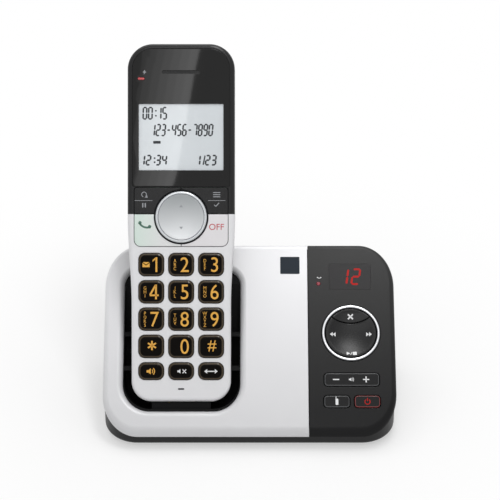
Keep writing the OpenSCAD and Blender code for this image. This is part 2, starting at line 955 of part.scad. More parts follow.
module power_jack() {
    mid_z = board_z + board_t + power_jack_w / 2;
    color("#3a3b3d")
        difference() {
            translate([power_jack_x - power_jack_w / 2, jack_y - jack_len, board_z + board_t])
                cube([power_jack_w, jack_len, power_jack_w]);
            translate([power_jack_x, jack_y + 1, mid_z])
                rotate([90, 0, 0])
                    difference() {
                        cylinder(r = power_hole_r, h = 10);
                        cylinder(r = power_pin_r, h = 12);
                        translate([0, 0, -1])
                            cylinder(r = power_hole_r + 1, h = 0.9);
                    }
            translate([power_jack_x, jack_y + 1, mid_z])
                rotate([90, 0, 0])
                    cylinder(r = power_hole_r, h = 1.8);
        }
}

module rubber_feet() {
    color(DARK)
        for (x = [-1, 1])
            for (y = [-1, 1])
                translate([x * (base_w / 2 - foot_margin), base_mid_y + y * (base_d / 2 - foot_margin), 0]) {
                    cylinder(r = foot_r - 0.5, h = foot_h);
                    translate([0, 0, 0.4])
                        cylinder(r = foot_r, h = foot_h - 0.4);
                }
}

module base_screws() {
    color(CHROME)
        for (spot = screw_spots)
            translate([spot.x, spot.y, head_seat - screw_head_h])
                difference() {
                    union() {
                        cylinder(r = screw_head_r, h = screw_head_h);
                        cylinder(r = screw_r, h = screw_head_h + screw_len);
                    }
                    for (turn = [0, 90])
                        rotate([0, 0, turn])
                            cube([3, 0.8, 1.6], center = true);
                }
}

// ---- handset housings ----

function half_w(y) =
    handset_low_w / 2
    + (handset_w - handset_low_w) / 2 * smooth((y - waist_low) / (waist_high - waist_low));

// Thickness of the handset at a height: thin in the pocket, full behind the display.
function body_t(y) =
    low_t
    + (high_t - low_t) * smooth((y - door_low) / 52)
    - (high_t - top_t) * smooth((y - 138) / 40);

function handset_side(inset) = [
    for (i = [0:8])
        let(y = waist_low + (waist_high - waist_low) * i / 8)
        [half_w(y) - inset, y]
];

// Stations on the straight upper side, where only the back's thickness changes.
function upper_side(inset) = [for (y = [100, 138, 148]) [handset_w / 2 - inset, y]];

function right_side(inset) =
    concat(
        arc([handset_low_w / 2 - bottom_r, bottom_r], bottom_r - inset, -90, 6),
        handset_side(inset),
        upper_side(inset),
        arc([handset_w / 2 - top_r, handset_len - top_r], top_r - inset, 0, 8)
    );

function mirrored(points) = [for (i = [len(points) - 1:-1:0]) [-points[i].x, points[i].y]];

function handset_ring(inset) = concat(right_side(inset), mirrored(right_side(inset)));

module handset_outline(inset) {
    polygon(handset_ring(inset));
}

// The front half of the handset, solid, with its rounded front edge.
module handset_front() {
    rounding = [
        for (a = [0:22.5:90])
            at_z(handset_ring(front_r * (1 - cos(a))), -front_r * (1 - sin(a)))
    ];
    loft(concat([at_z(handset_ring(0), -front_depth + stack_gap / 2)], rounding));
}

// A ring on the back half: share 0 is the joint with the front and share 1 is the back's surface.
function back_ring(a) = [
    for (p = handset_ring(back_r * (1 - cos(a))))
        [p.x, p.y, -front_depth - stack_gap / 2 - (body_t(p.y) - front_depth) * (1 - 0.55 * (1 - sin(a)))]
];

module handset_back() {
    joint = at_z(handset_ring(0), -front_depth - stack_gap / 2);
    loft(concat([for (a = [90:-15:0]) back_ring(a)], [joint]));
}

// The room inside the back shell, a wall in from the back's surface.
module back_room() {
    profile = concat(
        [[-10, 1]],
        [[-10, shell_wall - body_t(0)]],
        [for (y = [0, each [for (i = [0:12]) door_low + 52 * i / 12], each [for (i = [0:6]) 138 + 40 * i / 6]])
            [y, shell_wall - body_t(y)]],
        [[190, 1]]
    );
    intersection() {
        translate([0, 0, -big / 2])
            linear_extrude(big)
                handset_outline(shell_wall + 0.4);
        along_x(2 * (handset_w / 2 - back_r + 2.4))
            polygon(profile);
    }
}

module handset_back_shell() {
    color(BLACK)
        handset_frame()
            difference() {
                union() {
                    difference() {
                        handset_back();
                        back_room();
                    }
                    intersection() {
                        handset_back();
                        back_ribs();
                    }
                }
                door_opening();
                for (spot = handset_screw_spots)
                    translate([spot.x, spot.y, -big / 2]) {
                        cylinder(r = small_screw_r + 0.2, h = big / 2 - front_depth + 1);
                        cylinder(r = small_head_r + 0.2, h = big / 2 - body_t(spot.y) + 2.6);
                    }
                for (i = [-2:2])
                    translate([-6, free_speaker_y + i * 3 - 0.6, -big / 2])
                        cube([12, 1.2, big / 2 - high_t + shell_wall + 1]);
            }
}

// Screw bosses and the battery bay's end walls.
module back_ribs() {
    for (spot = handset_screw_spots)
        translate([spot.x, spot.y, -body_t(spot.y)])
            cylinder(r = small_head_r + 1.1, h = body_t(spot.y) - front_depth - 0.2);
    for (y = [door_low - 0.2 - 1.4, door_high + 0.6])
        translate([-door_w / 2, y, -body_t(y)])
            cube([door_w, 1.4, body_t(y) - front_depth - 0.4]);
}

// The opening that the battery door closes, with its wall gap.
module door_opening() {
    w = door_w + 2 * door_gap;
    translate([-w / 2, door_low - door_gap, -big / 2])
        cube([w, door_len + 2 * door_gap, big / 2 - front_depth - 1]);
}

function door_out(y) = body_t(y) + door_lip * (1 - smooth((y - door_low) / 36));

module battery_cover() {
    stations = [for (i = [0:12]) door_low + door_len * i / 12];
    outer = [for (y = stations) [y, -door_out(y)]];
    inner = [for (i = [12:-1:0]) [stations[i], -door_out(stations[i]) + door_t]];
    color(BLACK)
        handset_frame()
            difference() {
                along_x(door_w)
                    polygon(concat(outer, inner));
                for (i = [0:2])
                    translate([-5, door_low + 6 + 2.4 * i, -door_out(door_low + 6 + 2.4 * i) - 0.6])
                        cube([10, 1.1, 1.1]);
            }
}

module front_half(from_y, to_y) {
    intersection() {
        handset_front();
        translate([-big / 2, from_y, -big / 2])
            cube([big, to_y - from_y, big]);
    }
}

// The opening in the front pieces for the function keys and the navigation key among them.
module function_opening() {
    depth = 2 * front_depth;
    translate([0, (function_low + function_high) / 2, 0])
        cube([2 * (function_half_w + key_gap), function_high - function_low + 2 * key_gap, depth], center = true);
}

module handset_keypad_face() {
    color(SILVER)
        handset_frame()
            difference() {
                union() {
                    difference() {
                        front_half(-5, colour_line - stack_gap / 2);
                        translate([0, 0, -20])
                            linear_extrude(20 - face_t)
                                handset_outline(shell_wall);
                    }
                    for (spot = handset_screw_spots)
                        if (spot.y < colour_line)
                            translate([spot.x, spot.y, -front_depth + 0.2])
                                cylinder(r = small_screw_r + 1.3, h = front_depth - 1);
                }
                function_opening();
                for (spot = handset_screw_spots)
                    translate([spot.x, spot.y, -20])
                        cylinder(r = small_screw_r + 0.1, h = 17);
                for (x = [-1, 0, 1]) {
                    for (y = keys_y)
                        key_cut(x * key_pitch_x, y, key_h, key_r);
                    key_cut(x * key_pitch_x, low_key_y, low_key_h, low_key_h / 2 - 1);
                }
                translate([0, 6, 0])
                    cube([3, 0.8, 10], center = true);
                for (x = [-1, 1])
                    translate([x * contact_x, 0, -contact_depth])
                        cube([4.4, 8, 3.4], center = true);
            }
}

module key_cut(x, y, h, r) {
    translate([x, y, -10])
        linear_extrude(20)
            round_rect(key_w + 2 * key_gap, h + 2 * key_gap, r + key_gap);
}

module handset_upper_bezel() {
    color(BLACK)
        handset_frame()
            difference() {
                union() {
                    difference() {
                        front_half(colour_line + stack_gap / 2, handset_len + 5);
                        translate([0, 0, -20])
                            linear_extrude(20 - bezel_t)
                                handset_outline(shell_wall);
                    }
                    for (spot = handset_screw_spots)
                        if (spot.y > colour_line)
                            translate([spot.x, spot.y, -front_depth + 0.2])
                                cylinder(r = small_screw_r + 1.3, h = front_depth - 1);
                }
                function_opening();
                for (spot = handset_screw_spots)
                    translate([spot.x, spot.y, -20])
                        cylinder(r = small_screw_r + 0.1, h = 17);
                lens_prism(0.15, -lens_t - stack_gap, 10);
                lcd_block(0.2, -10, 10);
                ear_slot(-20, 30, 1);
                charge_block(0.15, -20, 30);
            }
}

module lens_prism(grow, from_z, height) {
    translate([0, 0, from_z])
        linear_extrude(height)
            intersection() {
                handset_outline(lens_margin - grow);
                translate([-big / 2, lens_low - grow])
                    square(big);
            }
}

module lcd_block(grow, from_z, height) {
    w = lcd_w + 2 * (lcd_rim + grow);
    h = lcd_h + 2 * (lcd_rim + grow);
    translate([-w / 2, lcd_low - lcd_rim - grow, from_z])
        cube([w, h, height]);
}

module ear_slot(from_z, height, grow) {
    translate([0, ear_y, from_z])
        linear_extrude(height)
            round_rect(ear_slot_w + grow, ear_slot_h + grow, (ear_slot_h + grow) / 2 - 0.05);
}

module charge_block(grow, from_z, height) {
    translate([-charge_x, charge_y, from_z])
        linear_extrude(height)
            round_rect(charge_w + 2 * grow, charge_h + 2 * grow, charge_h / 2 + grow - 0.05);
}

module display_lens() {
    color(DARK)
        handset_frame()
            difference() {
                lens_prism(0, -lens_t, lens_t);
                ear_slot(-10, 20, 0);
                charge_block(0.15, -10, 20);
            }
}

module lcd_module() {
    color("#c9d0d2")
        handset_frame()
            lcd_block(0, -lens_t - stack_gap - lcd_t, lcd_t);
}

module charge_lamp() {
    color("#d05050")
        handset_frame()
            charge_block(0, -bezel_t - 0.2, bezel_t + 0.3);
}

module earpiece_speaker() {
    color("#5a5c60")
        handset_frame()
            translate([0, ear_y, -bezel_t - 4.2]) {
                cylinder(r = ear_r - 2, h = 4);
                translate([0, 0, 2.4])
                    cylinder(r = ear_r, h = 1.6);
            }
}

// ---- handset keys ----

module pad_key(column, row) {
    low_row = row == 4;
    h = low_row ? low_key_h : key_h;
    r = low_row ? low_key_h / 2 - 1 : key_r;
    y = low_row ? low_key_y : keys_y[row];
    rings = [
        at_z(round_ring(key_w, h, r, small_arc_steps), -key_bottom + 0.2),
        at_z(round_ring(key_w, h, r, small_arc_steps), key_proud - 0.7),
        at_z(round_ring(key_w - 0.5, h - 0.5, r - 0.25, small_arc_steps), key_proud - 0.2),
        at_z(round_ring(key_w - 1.6, h - 1.6, r - 0.8, small_arc_steps), key_proud),
    ];
    color("#241a12")
        handset_frame()
            translate([(column - 1) * key_pitch_x, y, 0]) {
                loft(rings);
                translate([0, 0, -key_bottom])
                    linear_extrude(0.3)
                        round_rect(key_w + 2 * key_flange, h + 2 * key_flange, r);
            }
}

// One of the four keys round the navigation key: side -1 is left, and upper keys are dark.
module function_key(side, upper) {
    low = upper ? colour_line + key_gap / 2 : function_low;
    high = upper ? function_high : colour_line - key_gap / 2;
    w = function_half_w - key_gap / 2;
    color(upper ? BLACK : SILVER)
        handset_frame()
            difference() {
                translate([side > 0 ? key_gap / 2 : -function_half_w, low, -key_bottom])
                    cube([w, high - low, key_bottom]);
                translate([0, nav_y, -10])
                    cylinder(r = nav_r + nav_gap + 0.1, h = 20);
            }
}

module redial_key() {
    function_key(-1, true);
}

module menu_key() {
    function_key(1, true);
}

module talk_key() {
    function_key(-1, false);
}

module off_key() {
    function_key(1, false);
}

module nav_key() {
    color(SILVER)
        handset_frame()
            translate([0, nav_y, 0])
                dished_plate(nav_r, 1, -key_bottom, nav_proud, nav_dish);
}

// ---- handset works ----

module keypad_membrane() {
    color("#6a6c70")
        handset_frame()
            translate([0, 0, -mat_bottom])
                linear_extrude(membrane_t)
                    intersection() {
                        handset_outline(shell_wall + 1.2);
                        translate([-big / 2, board_low])
                            square([big, function_high - board_low]);
                    }
}

module handset_circuit_board() {
    color(GREEN)
        handset_frame()
            translate([0, 0, -board_top - board_t])
                linear_extrude(board_t)
                    intersection() {
                        handset_outline(shell_wall + 0.5);
                        translate([-big / 2, board_low])
                            square([big, board_high - board_low]);
                    }
}

module battery_pack() {
    color("#3f7fb0")
        handset_frame()
            for (x = [-1, 1])
                translate([x * (cell_r - 0.1), door_low + 1.2, -body_t(door_low) - door_lip + door_t + 0.4 + cell_r])
                    rotate([-90, 0, 0])
                        cylinder(r = cell_r, h = cell_len);
}

module microphone() {
    color("#5a5c60")
        handset_frame()
            translate([0, 6, -face_t - 2.2])
                cylinder(r = 2, h = 2);
}

module handsfree_speaker() {
    color("#5a5c60")
        handset_frame()
            translate([0, free_speaker_y, -high_t + shell_wall + 0.3]) {
                cylinder(r = free_speaker_r, h = 1.6);
                cylinder(r = free_speaker_r - 2, h = 4.5);
            }
}

module handset_charge_contacts() {
    color(COPPER)
        handset_frame()
            for (x = [-1, 1])
                translate([x * contact_x, 1.2, -contact_depth])
                    cube([4, 2, 3], center = true);
}

module handset_screws() {
    color(CHROME)
        handset_frame()
            for (spot = handset_screw_spots) {
                seat = -body_t(spot.y) + 2.6;
                translate([spot.x, spot.y, seat - 1.4]) {
                    cylinder(r = small_head_r, h = 1.4);
                    cylinder(r = small_screw_r, h = -seat + 1.4 - 3.4);
                }
            }
}

// ---- one line per sub-part ----

base_bottom_shell();
base_top_cover();
control_panel();
cradle_insert();
cradle_contacts();
ring_trim();
play_pad();
pad_pivot();
delete_key();
volume_rocker();
find_handset_key();
answer_key();
counter_window();
led_display();
in_use_lamp();
base_key_membrane();
base_key_board();
base_circuit_board();
base_speaker();
line_jack();
power_jack();
rubber_feet();
base_screws();
handset_back_shell();
battery_cover();
battery_pack();
handset_upper_bezel();
handset_keypad_face();
display_lens();
lcd_module();
earpiece_speaker();
charge_lamp();
nav_key();
redial_key();
menu_key();
talk_key();
off_key();
keypad_membrane();
handset_circuit_board();
microphone();
handsfree_speaker();
handset_charge_contacts();
handset_screws();
pad_key(0, 0);  // key_1
pad_key(1, 0);  // key_2
pad_key(2, 0);  // key_3
pad_key(0, 1);  // key_4
pad_key(1, 1);  // key_5
pad_key(2, 1);  // key_6
pad_key(0, 2);  // key_7
pad_key(1, 2);  // key_8
pad_key(2, 2);  // key_9
pad_key(0, 3);  // key_star
pad_key(1, 3);  // key_0
pad_key(2, 3);  // key_pound
pad_key(0, 4);  // speaker_key
pad_key(1, 4);  // mute_key
pad_key(2, 4);  // intercom_key
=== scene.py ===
"""The looks of the answering machine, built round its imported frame.

Sizes are in millimetres, as in the part's source, and meshes are made in metres.
"""

from math import acos, asin, cos, degrees, pi, radians, sin, sqrt, tan

import bmesh
import bpy
from mathutils import Matrix, Vector
from mathutils.geometry import delaunay_2d_cdt

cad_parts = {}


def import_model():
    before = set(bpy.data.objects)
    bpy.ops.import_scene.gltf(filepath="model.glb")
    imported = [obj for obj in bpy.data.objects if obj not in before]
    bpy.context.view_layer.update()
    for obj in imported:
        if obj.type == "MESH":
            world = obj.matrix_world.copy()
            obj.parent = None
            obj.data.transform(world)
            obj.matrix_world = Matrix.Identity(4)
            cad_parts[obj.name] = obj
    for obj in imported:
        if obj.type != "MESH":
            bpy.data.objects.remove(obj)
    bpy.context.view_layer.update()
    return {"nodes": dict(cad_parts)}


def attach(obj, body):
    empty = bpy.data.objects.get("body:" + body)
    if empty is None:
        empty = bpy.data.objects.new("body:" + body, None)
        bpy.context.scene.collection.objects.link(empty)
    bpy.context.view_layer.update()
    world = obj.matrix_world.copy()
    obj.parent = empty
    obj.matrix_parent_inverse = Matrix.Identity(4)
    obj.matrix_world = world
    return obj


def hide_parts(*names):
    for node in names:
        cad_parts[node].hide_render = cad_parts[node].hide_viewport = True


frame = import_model()

MM = 0.001

# ---- sizes, as in the part's source ----

BASE_W, BASE_D, FRONT_H, SLOPE = 140, 78, 10, 35
# the base's middle lies in front of the origin, which is under the middle of the whole object
MID_Y = -23.3836
# the visible skirts are 1.3 mm less high than the part's own (4.2), so that the shell's dark band
# below them shows as in the photo
CORNER_R, CORNER_STEPS, EDGE_R, SKIRT_H, WALL = 17, 20, 2.6, 2.9, 2.2
SEAM_X, SEAM_GAP, SEAM_EASE, SHELL_INSET = 28.2, 0.2, 0.35, 0.7
FOOT_H, TAPER_IN, TAPER_UP = 1.5, 2.4, 2.6
HANDSET_X, POCKET_FRONT, POCKET_W, POCKET_TOP = -32.5, 11, 55.4, 81.6
POCKET_R, POCKET_TOP_R, POCKET_GAP, POCKET_LIP = 12.5, 8, 0.3, 2.8
TILT, SINK, SEAT_H = 20, 1.6, 3.6
PANEL_X, DISC_S, DISC_R, DISH, RING_W, RING_PROUD = 48.7, 49, 12.2, 1.3, 1.6, 0.8
DELETE_EDGE, DELETE_R, DISC_T = 5, 16, 2.8
ROCKER_W, ROCKER_H, ROCKER_S = 26, 6.2, 25.7
SMALL_W, SMALL_H, SMALL_S, SMALL_PITCH = 12, 5.7, 14.9, 14.5
FIND_X, ANSWER_X = PANEL_X - SMALL_PITCH / 2, PANEL_X + SMALL_PITCH / 2
KEY_GAP, PANEL_KEY_R, PANEL_PROUD, SLOT_LIP = 0.3, 1.6, 0.5, 0.35
WINDOW_W, WINDOW_H, WINDOW_S = 20, 13, 77.72
LAMP_X, LAMP_S, LAMP_R = 33.4, 74.12, 0.9
LEN, W, LOW_W, WAIST_LOW, WAIST_HIGH = 170, 51, 47.2, 46, 88
TOP_R, BOTTOM_R, FRONT_R, BACK_R, FRONT_D = 12, 9.5, 2, 6, 10
LOW_T, HIGH_T, TOP_T = 17, 25.5, 20
FACE_T, BEZEL_T, COLOUR_LINE, LINE_STEP, LINE_GAP = 1.6, 2.8, 89.1, 0.05, 0.04
LENS_LOW, LENS_MARGIN, LENS_T = 102.2, 2.3, 1.3
LENS_PROUD, LCD_FACE = 0.08, -0.5
LCD_W, LCD_H, LCD_MID = 40.2, 31.5, 109.9 + 31.5 / 2
EAR_Y, EAR_W, EAR_H = 156.5, 18, 1.5
CHARGE_X, CHARGE_Y, CHARGE_W, CHARGE_H = 19, 153.4, 3.3, 1.2
NAV_Y, NAV_R, NAV_GAP, NAV_PROUD, NAV_DISH, NAV_SINK = 87.7, 12.2, 0.7, 1.0, 0.8, 0.02
FN_LOW, FN_HIGH, FN_HALF = 73.8, 101.6, 22.2
PITCH_X, PITCH_Y, KEYS_TOP = 14.2, 12.95, 65.1
KEY_W, KEY_H, KEY_R, KEY_PROUD, KEY_BOTTOM = 11.7, 10.5, 2.8, 0.9, 2.3
LOW_KEY_H, LOW_KEY_Y, LOW_KEY_R, FUNCTION_TOP = 7.9, 14.5, 7.9 / 2 - 1, 0.02
DOOR_LOW, DOOR_LEN, DOOR_W, DOOR_T, DOOR_LIP, DOOR_GAP = 44, 48, 34, 1.5, 2, 0.25
BOARD_RISE, BOARD_T, JACK_NEAR, JACK_FAR = 4, 1.2, 30, 46
# x, width and height of the line jack's and the power jack's openings
JACKS = [(25, 13.4, 12.4), (47, 9.4, 9.4)]
SPEAKER_R, SPEAKER_RIM, SLOT_PITCH, SLOT_W = 16, 3, 3.4, 1.6
BASE_BORE_R, HAND_BORE_R, FAR_BACK = 3, 2, -60
FLOOR_Z = FOOT_H + WALL
BOSS_TOP = FLOOR_Z + 2.4
HEAD_SEAT = BOSS_TOP - 1.6
SCREWS = [(8, -29.5), (8, 30.5), (-54, 32.2), (60.5, -28.5), (60.5, 28.5)]
HANDSET_SCREWS = [(-14.5, 5.9), (14.5, 5.9), (-16, LEN - 12.5), (16, LEN - 12.5)]

# ---- frames ----


def shift(x, y, z):
    return Matrix.Translation((x * MM, y * MM, z * MM))


def turn_x(angle):
    return Matrix.Rotation(radians(angle), 4, "X")


BASE = shift(0, MID_Y, 0)
FACE = BASE @ shift(0, -BASE_D / 2, FRONT_H) @ turn_x(SLOPE)
POCKET = FACE @ shift(HANDSET_X, POCKET_FRONT, 0) @ turn_x(TILT)
HAND = POCKET @ shift(0, SEAT_H, -SINK)
DISC = FACE @ shift(PANEL_X, DISC_S, 0)
NAV = HAND @ shift(0, NAV_Y, 0)


def face_z(y):
    return FRONT_H + (y + BASE_D / 2) * tan(radians(SLOPE))


def on_face(x, s, n):
    """A point of the sloped face, in the base's frame, n above it."""
    a = radians(SLOPE)
    return (x, -BASE_D / 2 + s * cos(a) - n * sin(a), FRONT_H + s * sin(a) + n * cos(a))


# ---- materials ----


def linear(*colour):
    shares = [c / 255 for c in colour]
    return (*(c / 12.92 if c <= 0.04045 else ((c + 0.055) / 1.055) ** 2.4 for c in shares), 1.0)


def set_inputs(node, values):
    for key, value in values.items():
        node.inputs[key].default_value = value


class Tree:
    """The node tree of a material or a world."""

    def __init__(self, owner):
        owner.use_nodes = True
        self.nodes, self.links = owner.node_tree.nodes, owner.node_tree.links

    def new(self, kind, values=None, operation=None):
        node = self.nodes.new("ShaderNode" + kind)
        if operation:
            node.operation = operation
        set_inputs(node, values or {})
        return node

    def join(self, *wires):
        """Each wire names a node and its output, then the next node and its input."""
        for source, output, target, entry in wires:
            self.links.new(source.outputs[output], target.inputs[entry])


NOISE_RANGE, BROAD_SCALE, ROUGH_VARY, RELIEF = (0.3, 0.7), 60, 0.08, 0.2 * MM


def material(name, colour, rough, grain, bump, vary, metallic=0.0, specular=0.5, coat=0.0,
             coat_rough=0.05, glow=0.0, fade=None):
    """Moulded plastic, metal or paint: fine grain in bump and gloss, broad variation in colour.

    fade is an object axis, where along it the blend starts and ends in mm, and the other colour;
    several finishes use it for painted shade, lighter at one end than the other.
    """
    m = bpy.data.materials.new(name)
    tree = Tree(m)
    shader = tree.nodes["Principled BSDF"]
    base = linear(*colour)
    set_inputs(shader, {"Base Color": base, "Roughness": rough, "Metallic": metallic,
                        "Specular IOR Level": specular, "Coat Weight": coat,
                        "Coat Roughness": coat_rough, "Emission Strength": glow})
    where = tree.new("TexCoord")
    fine = tree.new("TexNoise", {"Scale": grain, "Detail": 3})
    wide = tree.new("TexNoise", {"Scale": BROAD_SCALE, "Detail": 4})
    ramp = tree.new("ValToRGB")
    for stop, place, share in zip(ramp.color_ramp.elements, NOISE_RANGE, (1 - vary, 1 + vary)):
        stop.position = place
        stop.color = tuple(min(1, c * share) for c in base[:3]) + (1,)
    gloss = tree.new("MapRange", {"From Min": NOISE_RANGE[0], "From Max": NOISE_RANGE[1],
                                  "To Min": max(0.02, rough * (1 - ROUGH_VARY)),
                                  "To Max": min(1, rough * (1 + ROUGH_VARY))})
    relief = tree.new("Bump", {"Strength": bump, "Distance": RELIEF})
    tree.join((where, "Object", fine, "Vector"), (where, "Object", wide, "Vector"),
              (wide, "Fac", ramp, "Fac"), (fine, "Fac", gloss, "Value"),
              (gloss, "Result", shader, "Roughness"), (fine, "Fac", relief, "Height"),
              (relief, "Normal", shader, "Normal"))
    shade = (ramp, "Color")
    if fade:
        axis, start, end, other = fade
        split = tree.new("SeparateXYZ")
        share = tree.new("MapRange", {"From Min": start * MM, "From Max": end * MM})
        # of the Mix node, inputs 0, 6 and 7 are the factor and the colours, and output 2 the colour
        mix = tree.new("Mix", {7: linear(*other)})
        mix.data_type = "RGBA"
        tree.join((where, "Object", split, 0), (split, axis, share, "Value"),
                  (share, "Result", mix, 0), (ramp, "Color", mix, 6))
        shade = (mix, 2)
    tree.join((*shade, shader, "Base Color"))
    if glow:
        tree.join((ramp, "Color", shader, "Emission Color"))
    return m


# the cover's silver carries painted shade: darker at its front edge, lighter towards the back
SILVER_PAINTED_SHADE = material("silver_plastic_painted_shade", (208, 208, 210), 0.36, 3200, 0.05, 0.012, metallic=0.1,
                  fade=(1, -34, 28, (232, 232, 234)))
FACE_SILVER = material("silver_face", (227, 227, 229), 0.34, 3200, 0.05, 0.012, metallic=0.15)
# the panel's black carries painted shade: darkest at the front, lighter towards the back
PANEL_BLACK_PAINTED_SHADE = material("panel_black_painted_shade", (17, 17, 18), 0.33, 2400, 0.08, 0.08, specular=0.16,
                       fade=(1, -30, 34, (52, 52, 52)))
SHELL_BLACK = material("shell_black", (22, 22, 23), 0.42, 1800, 0.16, 0.1, specular=0.3)
CRADLE_BLACK = material("cradle_black", (19, 19, 20), 0.65, 1800, 0.12, 0.1, specular=0.1)
BEZEL_BLACK = material("bezel_black", (20, 20, 21), 0.24, 2400, 0.03, 0.06, specular=0.3)
LENS_BLACK = material("lens_black", (13, 13, 13), 0.025, 900, 0.002, 0.05, specular=0.28)
KEY_BLACK = material("key_black", (10, 7, 5), 0.3, 1600, 0.03, 0.12, specular=0.05)
KEY_RIM = material("key_rim", (56, 42, 18), 0.22, 1600, 0.03, 0.12, specular=0.4)
PANEL_KEY = material("panel_key_black", (16, 16, 17), 0.32, 2000, 0.05, 0.08, specular=0.16)
PANEL_RIM = material("panel_key_rim", (72, 73, 75), 0.3, 2000, 0.04, 0.06)
ANSWER_RIM = material("answer_key_rim", (118, 46, 46), 0.3, 2000, 0.04, 0.06)
DISC_BLACK = material("disc_black", (18, 18, 19), 0.26, 1400, 0.01, 0.08, specular=0.24)
CHROME = material("bright_ring", (222, 223, 226), 0.2, 1200, 0.01, 0.01, metallic=1.0)
# a darker copy of the ring's chrome, for its flanks: painted shade
RING_FLANK_PAINTED_SHADE = material("ring_flank_painted_shade", (122, 123, 126), 0.28, 1200, 0.01, 0.02, metallic=1.0)
# the navigation key's dish carries painted shade: darker at its top, lighter at its bottom
NAV_SILVER_PAINTED_SHADE = material("nav_silver", (162, 166, 168), 0.3, 1800, 0.006, 0.015, metallic=0.4,
                      fade=(1, 9, -9, (214, 216, 218)))
# a brighter copy of the navigation key's silver, for its edge: painted highlight
NAV_RIM_PAINTED_HIGHLIGHT = material("nav_rim_painted_highlight", (204, 207, 210), 0.22, 1800, 0.006, 0.01, metallic=0.6)
# a darker copy of the navigation key's silver, for the groove round its dish: painted shade
NAV_GROOVE_PAINTED_SHADE = material("nav_groove_painted_shade", (134, 138, 142), 0.35, 1800, 0.006, 0.02, metallic=0.2)
TALK_TINT = material("talk_plate", (214, 229, 221), 0.36, 3200, 0.04, 0.012, metallic=0.1,
                     fade=(0, -21, -9, (226, 227, 227)))
OFF_TINT = material("off_plate", (227, 225, 227), 0.36, 3200, 0.04, 0.012, metallic=0.1)
AMBER = material("amber_legend", (226, 168, 66), 0.4, 1500, 0.02, 0.05, glow=0.05)
WHITE_INK = material("white_legend", (232, 233, 234), 0.5, 1500, 0.03, 0.02)
GREY_INK = material("grey_legend", (150, 152, 156), 0.5, 1500, 0.03, 0.03)
DARK_INK = material("dark_legend", (34, 42, 50), 0.5, 1500, 0.03, 0.05, specular=0.15)
GREEN_INK = material("green_legend", (74, 112, 96), 0.5, 1500, 0.03, 0.04)
RED_INK = material("red_legend", (192, 62, 74), 0.5, 1500, 0.03, 0.04, specular=0.2)
RED_GLOW = material("led_red", (176, 30, 27), 0.3, 1500, 0.02, 0.05, specular=0.1, glow=0.06)
DIM_RED = material("lamp_red", (146, 46, 60), 0.25, 1500, 0.02, 0.1, glow=0.04)
PINK_LAMP = material("charge_pink", (196, 80, 78), 0.25, 1500, 0.02, 0.06, glow=0.04)
WINDOW_DARK = material("window_dark", (44, 43, 44), 0.3, 2400, 0.04, 0.06, specular=0.16)
LCD_GREY = material("lcd_grey", (208, 214, 218), 0.14, 2400, 0.01, 0.015, coat=0.8, coat_rough=0.02)
LCD_INK = material("lcd_ink", (26, 30, 36), 0.3, 1500, 0.01, 0.05)
RUBBER = material("foot_rubber", (28, 28, 29), 0.75, 1400, 0.25, 0.1, specular=0.25)
STEEL = material("screw_steel", (160, 163, 168), 0.3, 2200, 0.05, 0.05, metallic=1.0)
BRASS = material("contact_metal", (206, 168, 98), 0.25, 2200, 0.04, 0.05, metallic=1.0)
BOARD = material("board_green", (34, 88, 58), 0.4, 700, 0.06, 0.12, coat=0.3)
MAT_GREY = material("membrane_grey", (58, 60, 64), 0.7, 1600, 0.12, 0.06)
SPEAKER = material("speaker_black", (34, 35, 37), 0.6, 1200, 0.15, 0.1)
JACK = material("jack_black", (40, 41, 43), 0.45, 1600, 0.1, 0.08)
CELL = material("cell_wrap", (74, 128, 172), 0.3, 1200, 0.04, 0.06, coat=0.3)
POST = material("white_post", (214, 214, 212), 0.45, 1600, 0.05, 0.02)

# ---- mesh building ----


def arc(cx, cy, r, a0, a1, steps):
    turns = [radians(a0 + (a1 - a0) * i / steps) for i in range(steps + 1)]
    return [(cx + r * cos(a), cy + r * sin(a)) for a in turns]


def rounded(w, h, r, steps=6, cx=0.0, cy=0.0):
    """A rounded rectangle, anticlockwise from the lower right corner."""
    x, y = w / 2 - r, h / 2 - r
    corners = ((x, -y), (x, y), (-x, y), (-x, -y))
    return [p for k, (dx, dy) in enumerate(corners)
            for p in arc(cx + dx, cy + dy, r, 90 * k - 90, 90 * k, steps)]


def circle(r, steps, cx=0.0, cy=0.0):
    turns = [2 * pi * i / steps for i in range(steps)]
    return [(cx + r * cos(a), cy + r * sin(a)) for a in turns]


def at(points, z):
    return [(x, y, z) for x, y in points]


def mirrored(points):
    return [(-x, y) for x, y in reversed(points)]


def inside(p, polygon):
    hit = False
    for i, (x1, y1) in enumerate(polygon):
        x2, y2 = polygon[i - 1]
        if (y1 > p[1]) != (y2 > p[1]) and p[0] < (x2 - x1) * (p[1] - y1) / (y2 - y1) + x1:
            hit = not hit
    return hit


